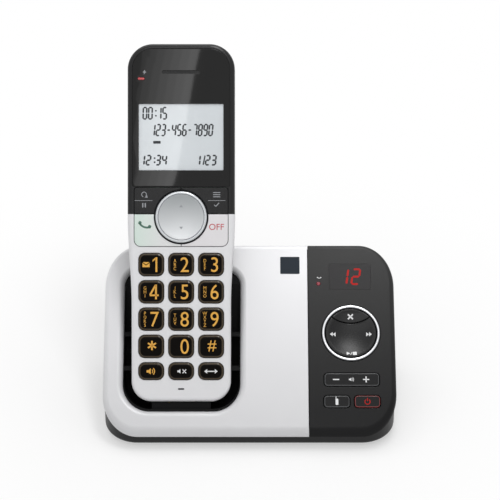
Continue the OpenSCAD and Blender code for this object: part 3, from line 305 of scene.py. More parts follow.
class Shape:
    """Points in mm, faces and the faces' finishes, built up ring by ring."""

    def __init__(self):
        self.v, self.f, self.m = [], [], []

    def ring(self, points):
        start = len(self.v)
        self.v += points
        return list(range(start, start + len(points)))

    def face(self, ids, mat=0):
        self.f.append(tuple(ids))
        self.m.append(mat)

    def bridge(self, a, b, closed=True, mat=0):
        """A band from ring a up to ring or point b; a runs anticlockwise, seen from above."""
        n = len(a)
        for i in range(n if closed else n - 1):
            j = (i + 1) % n
            self.face((a[i], a[j], b[0]) if len(b) == 1 else (a[i], a[j], b[j], b[i]), mat)

    def stack(self, rings, closed=True, mats=()):
        """Rings and the bands between them; mats has the first bands' finishes, others have 0."""
        ids = [self.ring(r) for r in rings]
        for k, (a, b) in enumerate(zip(ids, ids[1:])):
            self.bridge(a, b, closed, mats[k] if k < len(mats) else 0)
        return ids

    def well(self, rings):
        """Walls from an opening's ring in a face down through the others; gives that ring."""
        ids = [self.ring(r) for r in rings]
        for a, b in zip(ids, ids[1:]):
            self.bridge(b, a)
        return ids[0]

    def fill(self, outer, holes=(), flip=False):
        """Flat faces between a ring and the rings of its holes, as seen from above."""
        loops = [outer, *holes]
        ids = [i for loop in loops for i in loop]
        flat = [Vector(self.v[i][:2]) for i in ids]
        edges, start = [], 0
        for loop in loops:
            n = len(loop)
            edges += [(start + k, start + (k + 1) % n) for k in range(n)]
            start += n
        _, _, faces, origin = delaunay_2d_cdt(flat, edges, [], 0, THIN)[:4]
        back = [ids[o[0]] for o in origin]
        outlines = [[self.v[i][:2] for i in loop] for loop in loops]
        for face in faces:
            tri = [back[k] for k in face]
            (ax, ay), (bx, by), (cx, cy) = (self.v[i][:2] for i in tri)
            mid = ((ax + bx + cx) / 3, (ay + by + cy) / 3)
            if inside(mid, outlines[0]) and not any(inside(mid, o) for o in outlines[1:]):
                turn = (bx - ax) * (cy - ay) - (cx - ax) * (by - ay)
                self.face(tri if (turn < 0) == flip else tri[::-1])

    def mesh(self, name):
        me = bpy.data.meshes.new(name)
        me.from_pydata([(x * MM, y * MM, z * MM) for x, y, z in self.v], [], self.f)
        me.polygons.foreach_set("material_index", self.m)
        return me


WELD, THIN = 2e-6, 1e-7


def weld(me):
    bm = bmesh.new()
    bm.from_mesh(me)
    bmesh.ops.remove_doubles(bm, verts=bm.verts, dist=WELD)
    bmesh.ops.dissolve_degenerate(bm, edges=bm.edges, dist=THIN)
    bm.to_mesh(me)
    bm.free()


def linked(name, data):
    o = bpy.data.objects.new(name, data)
    bpy.context.scene.collection.objects.link(o)
    return o


def evaluated_mesh(o):
    return bpy.data.meshes.new_from_object(o.evaluated_get(bpy.context.evaluated_depsgraph_get()))


def put(name, shape, place, mats, body, node=None, sharp=32, weighted=True):
    """Makes a piece from a shape or a mesh and rides it on its body, in place of the node."""
    me = shape.mesh(name) if isinstance(shape, Shape) else shape
    weld(me)
    me.shade_smooth()
    me.set_sharp_from_angle(angle=radians(sharp))
    for m in mats if isinstance(mats, (list, tuple)) else [mats]:
        me.materials.append(m)
    o = linked(name, me)
    o.matrix_world = place
    if weighted:
        o.modifiers.new("even_normals", "WEIGHTED_NORMAL").keep_sharp = True
    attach(o, body)
    if node:
        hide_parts(node)
    return o


def carve(me, cutters):
    """The mesh with each closed cutter shape taken out of it."""
    base = linked("carve_base", me)
    made = [base]
    for cutter in cutters:
        made.append(linked("carve_cut", cutter.mesh("carve_cut")))
        cut = base.modifiers.new("cut", "BOOLEAN")
        cut.operation, cut.solver, cut.object = "DIFFERENCE", "EXACT", made[-1]
    bpy.context.view_layer.update()
    out = evaluated_mesh(base)
    for o in made:
        bpy.data.objects.remove(o)
    return out


def solid(rings, mats=()):
    """A closed shape over a stack of rings, filled flat at both ends."""
    s = Shape()
    ids = s.stack(rings, mats=mats)
    s.fill(ids[0], flip=True)
    s.fill(ids[-1])
    return s


def prism(points, z0, z1):
    """A closed prism over an anticlockwise outline."""
    return solid([at(points, z0), at(points, z1)])


def lathe(profile, steps, cap=True, mats=()):
    """A turned shape from (radius, z) pairs, lowest first on the outside."""
    s = Shape()
    rings = [at(circle(r, steps), z) if r else [(0, 0, z)] for r, z in profile]
    ids = s.stack(rings, mats=mats)
    if cap:
        s.face(ids[0][::-1])
    return s


def fillet(r, steps):
    """(inset, drop) pairs from the wall's top to the flat, round a quarter circle."""
    turns = [radians(90 * i / steps) for i in range(steps + 1)]
    return [(r * (1 - cos(a)), r * (1 - sin(a))) for a in turns]


# ---- base covers ----


def plan_side(inset, side, seam):
    """The plan outline on one side of the seam: an open chain, anticlockwise."""
    ring, half = plan_ring(inset), 2 * (CORNER_STEPS + 1)
    front, back = (seam, -BASE_D / 2 + inset), (seam, BASE_D / 2 - inset)
    return [front, *ring[:half], back] if side > 0 else [back, *ring[half:], front]


def plan_ring(inset):
    return rounded(BASE_W - 2 * inset, BASE_D - 2 * inset, CORNER_R - inset, CORNER_STEPS)


def sloped(points, drop):
    return [(x, y, face_z(y) - drop) for x, y in points]


def face_hole(s, ring_of, lip, depth):
    """A hole square to the face, with a rounded lip; ring_of(grow) gives its (x, s) pairs."""
    rings = [[on_face(x, t, -drop) for x, t in ring_of(grow)] for drop, grow in fillet(lip, 6)]
    return s.well(rings + [[on_face(x, t, -depth) for x, t in ring_of(0)]])


def cover(side, seam, holes):
    """One colour's share of the cover; holes are (outline, lip, depth)."""
    s = Shape()
    rings = [sloped(plan_side(0, side, seam), SKIRT_H)]
    for inset, drop in fillet(EDGE_R, 8):
        ease = SEAM_EASE * (inset / EDGE_R) ** 3
        rings.append(sloped(plan_side(inset, side, seam + side * ease), drop))
    ids = s.stack(rings)
    s.fill(ids[-1], [face_hole(s, *hole)[::-1] for hole in holes])
    s.bridge(s.ring(sloped(plan_side(WALL, side, seam), SKIRT_H)), ids[0])
    return s


def pocket_hole(grow):
    """The pocket's outline where it meets the face, as (x, s) pairs."""
    half, r = POCKET_W / 2 + POCKET_GAP, POCKET_R + POCKET_GAP
    stretch = 1 / cos(radians(TILT))
    right = [(x, POCKET_FRONT + y * stretch)
             for x, y in arc(half - r, r - POCKET_GAP, r + grow, -90, 0, 16)]
    right += arc(half - POCKET_TOP_R, POCKET_TOP - POCKET_TOP_R, POCKET_TOP_R + grow, 0, 90, 10)
    return [(x + HANDSET_X, y) for x, y in right + mirrored(right)]


def rect_hole(x, t, w, h, r, steps=6):
    return lambda grow: rounded(w + 2 * grow, h + 2 * grow, r + grow, steps, x, t)


def round_hole(x, t, r, steps=64):
    return lambda grow: circle(r + grow, steps, x, t)


def key_slot(x, t, w, h):
    return rect_hole(x, t, w + 2 * KEY_GAP, h + 2 * KEY_GAP, PANEL_KEY_R + KEY_GAP), SLOT_LIP, WALL


put("cover_silver", cover(-1, SEAM_X - SEAM_GAP / 2, [(pocket_hole, POCKET_LIP, WALL + 0.4)]),
    BASE, SILVER_PAINTED_SHADE, "base", "base_top_cover")
put("cover_panel", cover(1, SEAM_X + SEAM_GAP / 2, [
    (round_hole(PANEL_X, DISC_S, DISC_R + KEY_GAP + RING_W + 0.1), 0.3, WALL),
    key_slot(PANEL_X, ROCKER_S, ROCKER_W, ROCKER_H),
    key_slot(FIND_X, SMALL_S, SMALL_W, SMALL_H),
    key_slot(ANSWER_X, SMALL_S, SMALL_W, SMALL_H),
    (rect_hole(PANEL_X, WINDOW_S, WINDOW_W + 0.2, WINDOW_H + 0.2, 1.1), 0.06, WALL),
    (round_hole(LAMP_X, LAMP_S, LAMP_R + 0.1, 24), 0.15, WALL),
]), BASE, PANEL_BLACK_PAINTED_SHADE, "base", "control_panel")


# ---- bottom shell ----


def bottom_shell():
    """The base's lower housing, with a tapered foot and openings for jacks, screws and speaker."""
    rings = [at(plan_ring(SHELL_INSET + TAPER_IN * near), FOOT_H + TAPER_UP * up)
             for up, near in fillet(1, 6)]
    # the top edge carries a lip that closes the view through the seam
    top, lip = SKIRT_H + SEAM_GAP, WALL + 0.1
    for inset, drop in ((SHELL_INSET, top), (lip, top), (lip, lip), (SHELL_INSET + WALL, lip)):
        rings.append(sloped(plan_ring(inset), drop))
    rings.append(at(plan_ring(SHELL_INSET + WALL), FLOOR_Z))
    jack_z = FLOOR_Z + BOARD_RISE + BOARD_T
    cuts = [prism([(x - w / 2, JACK_NEAR), (x + w / 2, JACK_NEAR), (x + w / 2, JACK_FAR),
                   (x - w / 2, JACK_FAR)], jack_z, jack_z + h) for x, w, h in JACKS]
    cuts += [prism(circle(BASE_BORE_R, 32, x, y), -2, HEAD_SEAT) for x, y in SCREWS]
    speaker_y = BASE_D / 2 - WALL - SHELL_INSET - SPEAKER_R - 3
    for i in range(-3, 4):
        half = sqrt((SPEAKER_R - SPEAKER_RIM) ** 2 - (i * SLOT_PITCH) ** 2)
        slot = rounded(2 * half, SLOT_W, SLOT_W / 2 - 0.01, 4, HANDSET_X,
                       speaker_y + i * SLOT_PITCH)
        cuts.append(prism(slot, 0, FLOOR_Z + 0.5))
    return carve(solid(rings).mesh("bottom"), cuts)


put("bottom_shell", bottom_shell(), BASE, SHELL_BLACK, "base", "base_bottom_shell",
    sharp=28)

# ---- control panel pieces ----


def pill(w, h, r, low, high, edge, rim=0):
    """A key cap with rounded edges and, if asked, a rim of its own finish."""
    rings = [at(rounded(w, h, r, 7), low)]
    for inset, drop in fillet(edge, 5):
        ring = rounded(w - 2 * inset, h - 2 * inset, max(r - inset, 0.05), 7)
        rings.append(at(ring, high - drop))
    return solid(rings, [rim] * len(rings))


def dish(x, y, rim, depth):
    """A round dish's height, from 0 at its rim down to -depth in the middle."""
    r, ball = sqrt(x * x + y * y), (rim * rim + depth * depth) / (2 * depth)
    return ball - depth - sqrt(ball * ball - r * r) if r < rim else 0


def pad_height(x, y):
    """Height of the play disc's dished face."""
    return 0.3 + dish(x, y, DISC_R - 0.5, DISH)


RING_IN, RING_ROUND = DISC_R + KEY_GAP, RING_W / 2
# the ring's crest is bright chrome and its two flanks take the darker copy, painted shade
put("ring", lathe([(RING_IN, -WALL), (RING_IN + RING_W, -WALL)]
                  + arc(RING_IN + RING_ROUND, RING_PROUD - RING_ROUND, RING_ROUND, 0, 180, 12)
                  + [(RING_IN, -WALL)], 96, False, [0] * 2 + [1] * 4 + [0] * 4 + [1] * 4),
    DISC, [CHROME, RING_FLANK_PAINTED_SHADE], "base", "ring_trim")


def disc_part(upper, gap):
    """The disc's outline above or below the delete key's curved edge."""
    middle = DELETE_EDGE + DELETE_R + gap
    # where the curve meets the disc's rim
    meet_y = (DISC_R ** 2 - DELETE_R ** 2 + middle ** 2) / (2 * middle)
    meet = sqrt(DISC_R ** 2 - meet_y ** 2)
    angle = degrees(acos(meet / DISC_R))
    if upper:
        rim, way = arc(0, 0, DISC_R, angle, 180 - angle, 40), 1
    else:
        rim, way = arc(0, 0, DISC_R, 180 - angle, 360 + angle, 72), -1
    across = [way * meet * (-1 + 2 * i / 24) for i in range(1, 24)]
    return rim + [(x, middle - sqrt(DELETE_R ** 2 - x * x)) for x in across]


def shrink(outline, d):
    """An outline moved inwards by d along its corners' normals."""
    points, out = [Vector(p) for p in outline], []
    for p, q, r in zip(points[-1:] + points, points, points[1:] + points[:1]):
        a, b = (q - p).normalized(), (r - q).normalized()
        na, nb = Vector((-a.y, a.x)), Vector((-b.y, b.x))
        m = na + nb
        k = m.dot(na)
        out.append(tuple(q + m * (d / k if abs(k) > 0.3 else d)))
    return out


def dished(outline, low, height, edge=0.3, rows=7):
    """A plate over an outline whose top follows height(x, y), with an eased edge."""
    rings = [at(outline, low), [(x, y, height(x, y) - edge) for x, y in outline]]
    for inset, drop in fillet(edge, 3)[1:]:
        rings.append([(x, y, height(x, y) - drop) for x, y in shrink(outline, inset)])
    last = rings[-1]
    cx, cy = (sum(p[k] for p in last) / len(last) for k in (0, 1))
    for k in range(1, rows):
        t = 1 - k / rows
        points = [(cx + (x - cx) * t, cy + (y - cy) * t) for x, y, _ in last]
        rings.append([(x, y, height(x, y)) for x, y in points])
    s = Shape()
    ids = s.stack(rings + [[(cx, cy, height(cx, cy))]])
    s.fill(ids[0], flip=True)
    return s


def delete_height(x, y):
    """The delete key stands a little above the disc along its lower edge."""
    return pad_height(x, y) + 0.35 * max(0.0, 1 - abs(y - DELETE_EDGE) / 5)


for name, body, outline, height in (
        ("play_disc", "play_pad", disc_part(False, 0.0), pad_height),
        ("delete_cap", "delete_key", disc_part(True, KEY_GAP), delete_height)):
    put(name, dished(outline, -DISC_T, height), DISC, DISC_BLACK, body, body,
        sharp=50, weighted=False)


def panel_cap(name, x, s, w, h, edge_mat=PANEL_RIM):
    put(name + "_cap", pill(w, h, PANEL_KEY_R, -WALL - 0.4, PANEL_PROUD, 0.4, rim=1),
        FACE @ shift(x, s, 0), [PANEL_KEY, edge_mat], name, name)


panel_cap("volume_rocker", PANEL_X, ROCKER_S, ROCKER_W, ROCKER_H)
panel_cap("find_handset_key", FIND_X, SMALL_S, SMALL_W, SMALL_H)
panel_cap("answer_key", ANSWER_X, SMALL_S, SMALL_W, SMALL_H, ANSWER_RIM)
put("window_pane", pill(WINDOW_W + 0.12, WINDOW_H + 0.12, 1.05, -1.6, 0.0, 0.03),
    FACE @ shift(PANEL_X, WINDOW_S, 0), WINDOW_DARK, "base", "counter_window")
LAMP_DOME = [(LAMP_R, -5.4), (LAMP_R, 0.0), (LAMP_R * 0.85, 0.14), (LAMP_R * 0.5, 0.22), (0, 0.25)]
put("in_use_lens", lathe(LAMP_DOME, 24), FACE @ shift(LAMP_X, LAMP_S, 0), DIM_RED, "base",
    "in_use_lamp", weighted=False)

# ---- handset housings ----


def smooth(t):
    u = min(max(t, 0), 1)
    return u * u * (3 - 2 * u)


def half_w(y):
    share = smooth((y - WAIST_LOW) / (WAIST_HIGH - WAIST_LOW))
    return LOW_W / 2 + (W - LOW_W) / 2 * share


def body_t(y):
    """The handset's thickness at height y."""
    swell, ebb = smooth((y - DOOR_LOW) / 52), smooth((y - 138) / 40)
    return LOW_T + (HIGH_T - LOW_T) * swell - (HIGH_T - TOP_T) * ebb


def right_side(inset, from_y=-1.0, to_y=999.0):
    """The handset's right side from the bottom up; from_y and to_y keep a share of it."""
    low_y = [BOTTOM_R + (WAIST_LOW - BOTTOM_R) * i / 6 for i in range(1, 6)]
    mid_y = [WAIST_LOW + (WAIST_HIGH - WAIST_LOW) * i / 20 for i in range(21)]
    top_y = [COLOUR_LINE - LINE_STEP, COLOUR_LINE + LINE_STEP]
    top_y += [92 + (LEN - TOP_R - 92) * i / 16 for i in range(16)]
    pts = arc(LOW_W / 2 - BOTTOM_R, BOTTOM_R, BOTTOM_R - inset, -90, 0, 14)
    pts += [(half_w(y) - inset, y) for y in low_y + mid_y + top_y]
    pts += arc(W / 2 - TOP_R, LEN - TOP_R, TOP_R - inset, 0, 90, 18)
    return [p for p in pts if from_y <= p[1] <= to_y]


def handset_ring(inset):
    right = right_side(inset)
    return right + mirrored(right)


def chain(side, inset):
    """Open chain round the face below the colour line (side 1) or the bezel above it (side -1)."""
    if side > 0:
        right = right_side(inset, to_y=COLOUR_LINE - LINE_GAP)
        return mirrored(right) + right
    right = right_side(inset, from_y=COLOUR_LINE + LINE_GAP)
    return right + mirrored(right)


def key_hole(s, x, y, w, h, r, depth, lip=0.25):
    ring_of = rect_hole(x, y, w, h, r, 7)
    rings = [at(ring_of(grow), -drop) for drop, grow in fillet(lip, 3)]
    return s.well(rings + [at(ring_of(0), -depth)])


def notch(side, y, r, steps):
    """The edge of the face (side 1) or of the bezel (side -1) along the function keys."""
    x = side * (FN_HALF + KEY_GAP)
    half = arc(x - side * r, y + side * r, r, -90 * side, 90 - 90 * side, steps)
    half = [(x, COLOUR_LINE - side * LINE_STEP), *half[::-1]]
    return half + mirrored(half)


def front_rim(s, side, edge, depth):
    """One front housing's sides and rounded edge, and its wall below the notch's edge."""
    rings = [at(chain(side, 0), -FRONT_D + 0.05), at(chain(side, 0), -5)]
    rings += [at(chain(side, inset), -drop) for inset, drop in fillet(FRONT_R, 8)]
    ids = s.stack(rings, closed=False)
    top = s.ring(at(edge, 0))
    s.bridge(s.ring(at(edge, -depth)), top, closed=False)
    return ids[-1] + top


NAMES = [["key_1", "key_2", "key_3"], ["key_4", "key_5", "key_6"], ["key_7", "key_8", "key_9"],
         ["key_star", "key_0", "key_pound"], ["speaker_key", "mute_key", "intercom_key"]]
# names, middle, height and corner radius of each row of keys
KEY_ROWS = [(names, KEYS_TOP - row * PITCH_Y, KEY_H, KEY_R) for row, names in enumerate(NAMES[:4])]
KEY_ROWS.append((NAMES[4], LOW_KEY_Y, LOW_KEY_H, LOW_KEY_R))


def keypad_face():
    s = Shape()
    outer = front_rim(s, 1, notch(1, FN_LOW - KEY_GAP, 3.3, 8), FACE_T)
    loops = [key_hole(s, column * PITCH_X, y, KEY_W + 2 * KEY_GAP, h + 2 * KEY_GAP, r + KEY_GAP,
                      FACE_T) for column in (-1, 0, 1) for _, y, h, r in KEY_ROWS]
    # the microphone's slot
    loops.append(key_hole(s, 0, 6, 3, 0.8, 0.38, FACE_T, 0.15))
    s.fill(outer, loops)
    return s


def lens_outline(grow):
    inset = LENS_MARGIN - grow
    right = arc(W / 2 - inset - 1.0, LENS_LOW - grow + 1.0, 1.0, -90, 0, 4)
    right += right_side(inset, from_y=LENS_LOW + 1.5)
    return right + mirrored(right)


def upper_bezel():
    s = Shape()
    outer = front_rim(s, -1, notch(-1, FN_HIGH + KEY_GAP, 1.4, 6), BEZEL_T)
    lip = s.ring(at(lens_outline(0.15), 0))
    floor = s.ring(at(lens_outline(0.15), -LENS_T - 0.1))
    s.bridge(floor, lip)
    s.fill(outer, [lip])
    s.fill(floor)
    return s


def lens():
    """The display's lens, with openings for the display, the earpiece and the charge lamp."""
    s = Shape()
    rings = [at(lens_outline(0), -LENS_T)]
    rings += [at(lens_outline(-inset), LENS_PROUD - drop) for inset, drop in fillet(0.3, 4)]
    ids = s.stack(rings)
    holes = []
    for x, y, w, h, r, depth in ((0, LCD_MID, LCD_W, LCD_H, 0.5, 0.55),
                                 (0, EAR_Y, EAR_W, EAR_H, 0.7, 1.2),
                                 (-CHARGE_X, CHARGE_Y, CHARGE_W + 0.1, CHARGE_H + 0.1, 0.6, 1.0)):
        hole = rounded(w, h, r, 6, x, y)
        holes.append(s.well([at(rounded(w + 0.3, h + 0.3, r + 0.15, 6, x, y), LENS_PROUD),
                             at(hole, LENS_PROUD - 0.12), at(hole, -depth)]))
    s.fill(ids[-1], holes)
    s.fill(ids[0], flip=True)
    return s


put("keypad_face", keypad_face(), HAND, FACE_SILVER, "handset", "handset_keypad_face")
put("upper_bezel", upper_bezel(), HAND, BEZEL_BLACK, "handset", "handset_upper_bezel")
put("lens", lens(), HAND, LENS_BLACK, "handset", "display_lens")
put("lcd_glass", pill(LCD_W + 2.4, LCD_H + 2.4, 0.6, -LENS_T - 0.1 - 2.2, LCD_FACE, 0.1),
    HAND @ shift(0, LCD_MID, 0), LCD_GREY, "handset", "lcd_module")
put("charge_light", pill(CHARGE_W, CHARGE_H, 0.55, -3, 0.1, 0.22, rim=1),
    HAND @ shift(-CHARGE_X, CHARGE_Y, 0), [PINK_LAMP, DIM_RED], "handset", "charge_lamp")
put("ear_grille", prism(rounded(EAR_W + 0.6, EAR_H + 0.6, 0.9, 6, 0, EAR_Y), -1.15, -0.6), HAND,
    BEZEL_BLACK, "handset")


def back_ring(angle):
    """The back shell's edge at one angle of its rounding."""
    a = radians(angle)
    return [(x, y, -FRONT_D - 0.05 - (body_t(y) - FRONT_D) * (1 - 0.55 * (1 - sin(a))))
            for x, y in handset_ring(BACK_R * (1 - cos(a)))]


def back_shell():
    """The rear housing, with the battery cover's recess, screw bores and speaker slots."""
    s = Shape()
    rings = [back_ring(angle) for angle in range(90, -1, -9)]
    rings.append(at(handset_ring(0), -FRONT_D - 0.6))
    # from here a tongue reaches up inside the front housing and closes the view through the seam
    for inset, rise in ((0.25, -0.25), (1.0, -0.25), (1.0, 1.5)):
        rings.append(at(handset_ring(inset), -FRONT_D + rise))
    ids = s.stack(rings)
    low, top, last = ids[0], ids[-1], len(ids[0]) - 1
    for i in range(last // 2):
        s.face((low[i], low[last - i], low[last - 1 - i], low[i + 1]))
        s.face((top[i], top[i + 1], top[last - 1 - i], top[last - i]))
    recess = rounded(DOOR_W + 2 * DOOR_GAP, DOOR_LEN + 2 * DOOR_GAP, 0.6, 4, 0,
                     DOOR_LOW + DOOR_LEN / 2)
    slots = [rounded(12, 1.2, 0.55, 4, 0, 120 + 3 * i) for i in range(-2, 3)]
    cuts = [prism(recess, FAR_BACK, -FRONT_D - 3)]
    cuts += [prism(circle(HAND_BORE_R, 32, x, y), FAR_BACK, -body_t(y) + 2.6)
             for x, y in HANDSET_SCREWS]
    cuts += [prism(slot, FAR_BACK, -HIGH_T + 3) for slot in slots]
    return carve(s.mesh("back"), cuts)


put("back_shell", back_shell(), HAND, SHELL_BLACK, "handset", "handset_back_shell",
    sharp=28)


def door_out(y):
    return body_t(y) + DOOR_LIP * (1 - smooth((y - DOOR_LOW) / 36))


def battery_door():
    """The battery cover: a bowed plate, proud at its lower end, with five finger grooves."""
    s = Shape()
    steps, across, half = 32, 8, DOOR_W / 2
    # the plate's section: x, and how far each point lies in from the outside
    edge = [(-half, DOOR_T), (-half, 0.45), (-half + 0.12, 0.14), (-half + 0.45, 0)]
    flat = [(-half + 0.45 + (DOOR_W - 0.9) * k / across, 0) for k in range(1, across)]
    section = edge + flat + mirrored(edge)
    rings = []
    for i in range(steps + 1):
        y = DOOR_LOW + DOOR_LEN * i / steps
        out = door_out(y) - (0.25 if i in (0, steps) else 0)
        rings.append([(x, y, z - out) for x, z in section])
    ids = s.stack(rings)
    s.face(ids[0][::-1])
    s.face(ids[-1])
    cuts = []
    for i in range(5):
        y = DOOR_LOW + 6 + 2.4 * i
        groove = rounded(2 * (7 - abs(i - 2) * 0.9), 1.1, 0.5, 4, 0, y + 0.55)
        cuts.append(prism(groove, -door_out(y) - 2, -door_out(y) + 0.55))
    return carve(s.mesh("door"), cuts)


put("battery_door", battery_door(), HAND, SHELL_BLACK, "battery_cover", "battery_cover",
    sharp=28)

# ---- handset keys ----


# insets and heights of a number key's bevel; above the first RIM_BANDS lies the face's finish
KEY_BEVEL = [(0, 0.1), (0.06, 0.24), (0.2, 0.38), (0.4, 0.5), (0.75, 0.66), (1.0, 0.78),
             (1.2, 0.86), (1.35, KEY_PROUD)]
RIM_BANDS = 7


def key_cap(w, h, r):
    """A number key: a broad glossy bevel round a flat dark face."""
    flange = rounded(w + 0.6, h + 0.6, r + 0.2, 8)
    rings = [at(flange, -KEY_BOTTOM), at(flange, -KEY_BOTTOM + 0.25),
             at(rounded(w, h, r, 8), -KEY_BOTTOM + 0.3)]
    for inset, z in KEY_BEVEL:
        rings.append(at(rounded(w - 2 * inset, h - 2 * inset, max(r - inset * 0.8, 0.4), 8), z))
    return solid(rings, [1] * RIM_BANDS)


KEY_AT = {}
for names, y, h, r in KEY_ROWS:
    for column, name in enumerate(names):
        KEY_AT[name] = HAND @ shift((column - 1) * PITCH_X, y, 0)
        put(name + "_cap", key_cap(KEY_W, h, r), KEY_AT[name], [KEY_BLACK, KEY_RIM], name, name)


def function_outline(side, upper):
    """A function key's outline: a rounded rectangle less the navigation key's circle."""
    big = NAV_R + NAV_GAP + 0.1
    x0, x1 = KEY_GAP / 2, FN_HALF
    meet = degrees(acos(x0 / big))
    line = COLOUR_LINE + (KEY_GAP / 2 if upper else -KEY_GAP / 2)
    start = degrees(asin((line - NAV_Y) / big))
    if upper:
        r = 1.2
        pts = [(x1, line)] + arc(x1 - r, FN_HIGH - r, r, 0, 90, 5) + [(x0, FN_HIGH)]
        pts += reversed(arc(0, NAV_Y, big, start, meet, 14))
    else:
        r = 3.0
        pts = [(x0, FN_LOW)] + arc(x1 - r, FN_LOW + r, r, -90, 0, 8) + [(x1, line)]
        pts += reversed(arc(0, NAV_Y, big, -meet, start, 16))
    return pts if side > 0 else mirrored(pts)


def plate(outline, low, high, edge=0.18):
    rings = [at(outline, low), at(outline, high - edge)]
    for inset, drop in fillet(edge, 3)[1:]:
        rings.append(at(shrink(outline, inset), high - drop))
    return solid(rings)


for name, side, upper, mat in (
        ("redial_key", -1, True, BEZEL_BLACK), ("menu_key", 1, True, BEZEL_BLACK),
        ("talk_key", -1, False, TALK_TINT), ("off_key", 1, False, OFF_TINT)):
    cap = plate(function_outline(side, upper), -KEY_BOTTOM, FUNCTION_TOP)
    put(name + "_cap", cap, HAND, mat, name, name)


def nav_height(x, y):
    return NAV_PROUD + dish(x, y, NAV_R - 1.2, NAV_DISH)


# insets and heights of the navigation key's edge and groove, then the radii of its dish
NAV_EDGE = [(0, -KEY_BOTTOM), (0, 0.45), (0.08, 0.7), (0.25, 0.88), (0.5, 0.97), (0.8, NAV_PROUD),
            (1.05, NAV_PROUD - 0.03), (1.1, NAV_PROUD - 0.2), (1.4, NAV_PROUD - 0.2),
            (1.45, NAV_PROUD - 0.08)]
NAV_RADII = (10.6, 9.8, 8.6, 7.2, 5.8, 4.4, 3, 1.6, 0)
# the key's edge takes a brighter copy of its silver, a painted highlight, its groove a darker copy,
# painted shade, and its dish the silver with painted shade
put("nav_disc", lathe([(NAV_R - inset, z) for inset, z in NAV_EDGE]
                      + [(r, nav_height(r, 0) - NAV_SINK) for r in NAV_RADII], 96,
                      mats=[1] * 6 + [2] * 3), NAV, [NAV_SILVER_PAINTED_SHADE, NAV_RIM_PAINTED_HIGHLIGHT, NAV_GROOVE_PAINTED_SHADE], "nav_key",
    "nav_key", sharp=60, weighted=False)

# ---- legends and icons ----


def glyphs(text, height, stretch, x, y):
    """Letters as flat faces: (points, faces), height high, centred at x, y."""
    curve = bpy.data.curves.new("letters", "FONT")
    curve.body, curve.size = text, 1
    o = linked("letters", curve)
    bpy.context.view_layer.update()
    me = evaluated_mesh(o)
    bpy.data.objects.remove(o)
    xs, ys = [v.co.x for v in me.vertices], [v.co.y for v in me.vertices]
    k = height / (max(ys) - min(ys))
    cx, cy = (max(xs) + min(xs)) / 2, (max(ys) + min(ys)) / 2
    points = [(x + (px - cx) * k * stretch, y + (py - cy) * k) for px, py in zip(xs, ys)]
    return points, [tuple(p.vertices) for p in me.polygons]


def filled(outline):
    s = Shape()
    s.fill(s.ring(at(outline, 0)))
    return outline, s.f


INK_SINK = 0.02


def ink(name, marks, place, mat, body, height=0.0, thick=0.035):
    """Thin raised marks on a surface: outlines are lists of points, letters (points, faces)."""
    s = Shape()
    for mark in marks:
        points, faces = mark if isinstance(mark, tuple) else filled(mark)
        under = [(x, y, height(x, y) if callable(height) else height) for x, y in points]
        top = s.ring([(x, y, z + thick) for x, y, z in under])
        low = s.ring([(x, y, z - INK_SINK) for x, y, z in under])
        edges = set()
        for f in faces:
            s.face([top[i] for i in f])
            edges.update(zip(f, f[1:] + f[:1]))
        for i, j in sorted(edges):
            if (j, i) not in edges:
                s.face((low[i], low[j], top[j], top[i]))
    put(name, s, place, mat, body, weighted=False)


def bar(x0, y0, x1, y1, w):
    d = Vector((x1 - x0, y1 - y0)).normalized() * w / 2
    n = Vector((-d.y, d.x))
    return [(x0 - n.x, y0 - n.y), (x1 - n.x, y1 - n.y), (x1 + n.x, y1 + n.y), (x0 + n.x, y0 + n.y)]


def band(cx, cy, r, w, a0, a1, steps):
    inner = arc(cx, cy, r - w / 2, a0, a1, steps)
    return arc(cx, cy, r + w / 2, a0, a1, steps) + inner[::-1]


def speaker_icon(x, y, k):
    """A loudspeaker with two sound waves."""
    body = [(-1.6, -0.5), (-0.8, -0.5), (0.1, -1.3), (0.1, 1.3), (-0.8, 0.5), (-1.6, 0.5)]
    return [[(x + p * k, y + q * k) for p, q in body], band(x, y, 0.95 * k, 0.32 * k, -50, 50, 8),
            band(x, y, 1.7 * k, 0.34 * k, -50, 50, 10)]


def handset_icon(x, y, k, turn):
    """A handset seen from the side: a curved grip with two ends."""
    shape = [band(0, 3.2 * k, 3.4 * k, 0.75 * k, 232, 308, 14)]
    shape += [rounded(1.2 * k, 1.3 * k, 0.4 * k, 4, end * k, 0.75 * k) for end in (-2.05, 2.05)]
    c, s = cos(radians(turn)), sin(radians(turn))
    return [[(x + p * c - q * s, y + p * s + q * c) for p, q in poly] for poly in shape]


LETTERS = dict(zip("23456789", "ABC DEF GHI JKL MNO PQRS TUV WXYZ".split()))
# the signs that are drawn here; the font gives the others
DRAWN = {
    "key_star": [bar(0.4 - 2.2 * cos(a), 0.5 - 2.2 * sin(a), 0.4 + 2.2 * cos(a), 0.5 + 2.2 * sin(a),
                     0.8) for a in (pi / 6, pi / 2, 5 * pi / 6)],
    "key_1": [bar(2.5, -3.5, 2.5, 3.5, 0.85), [(0.7, 2.2), (0.7, 1.4), (2.2, 2.6), (2.2, 3.5)]],
    "key_4": [bar(2.3, -3.5, 2.3, 3.5, 0.85), bar(-0.6, -1.6, 3.6, -1.6, 0.8),
              bar(-0.5, -1.4, 2.1, 3.2, 0.85)],
}
ENVELOPE = [[(-4.1, -1.2), (-0.7, -1.2), (-0.7, 0.8), (-2.4, -0.45), (-4.1, 0.8)],
            [(-4.0, 1.2), (-2.4, 0.0), (-0.8, 1.2)]]


def key_legend(name, marks, mat=AMBER):
    ink(name + "_legend", marks, KEY_AT[name], mat, name, KEY_PROUD)


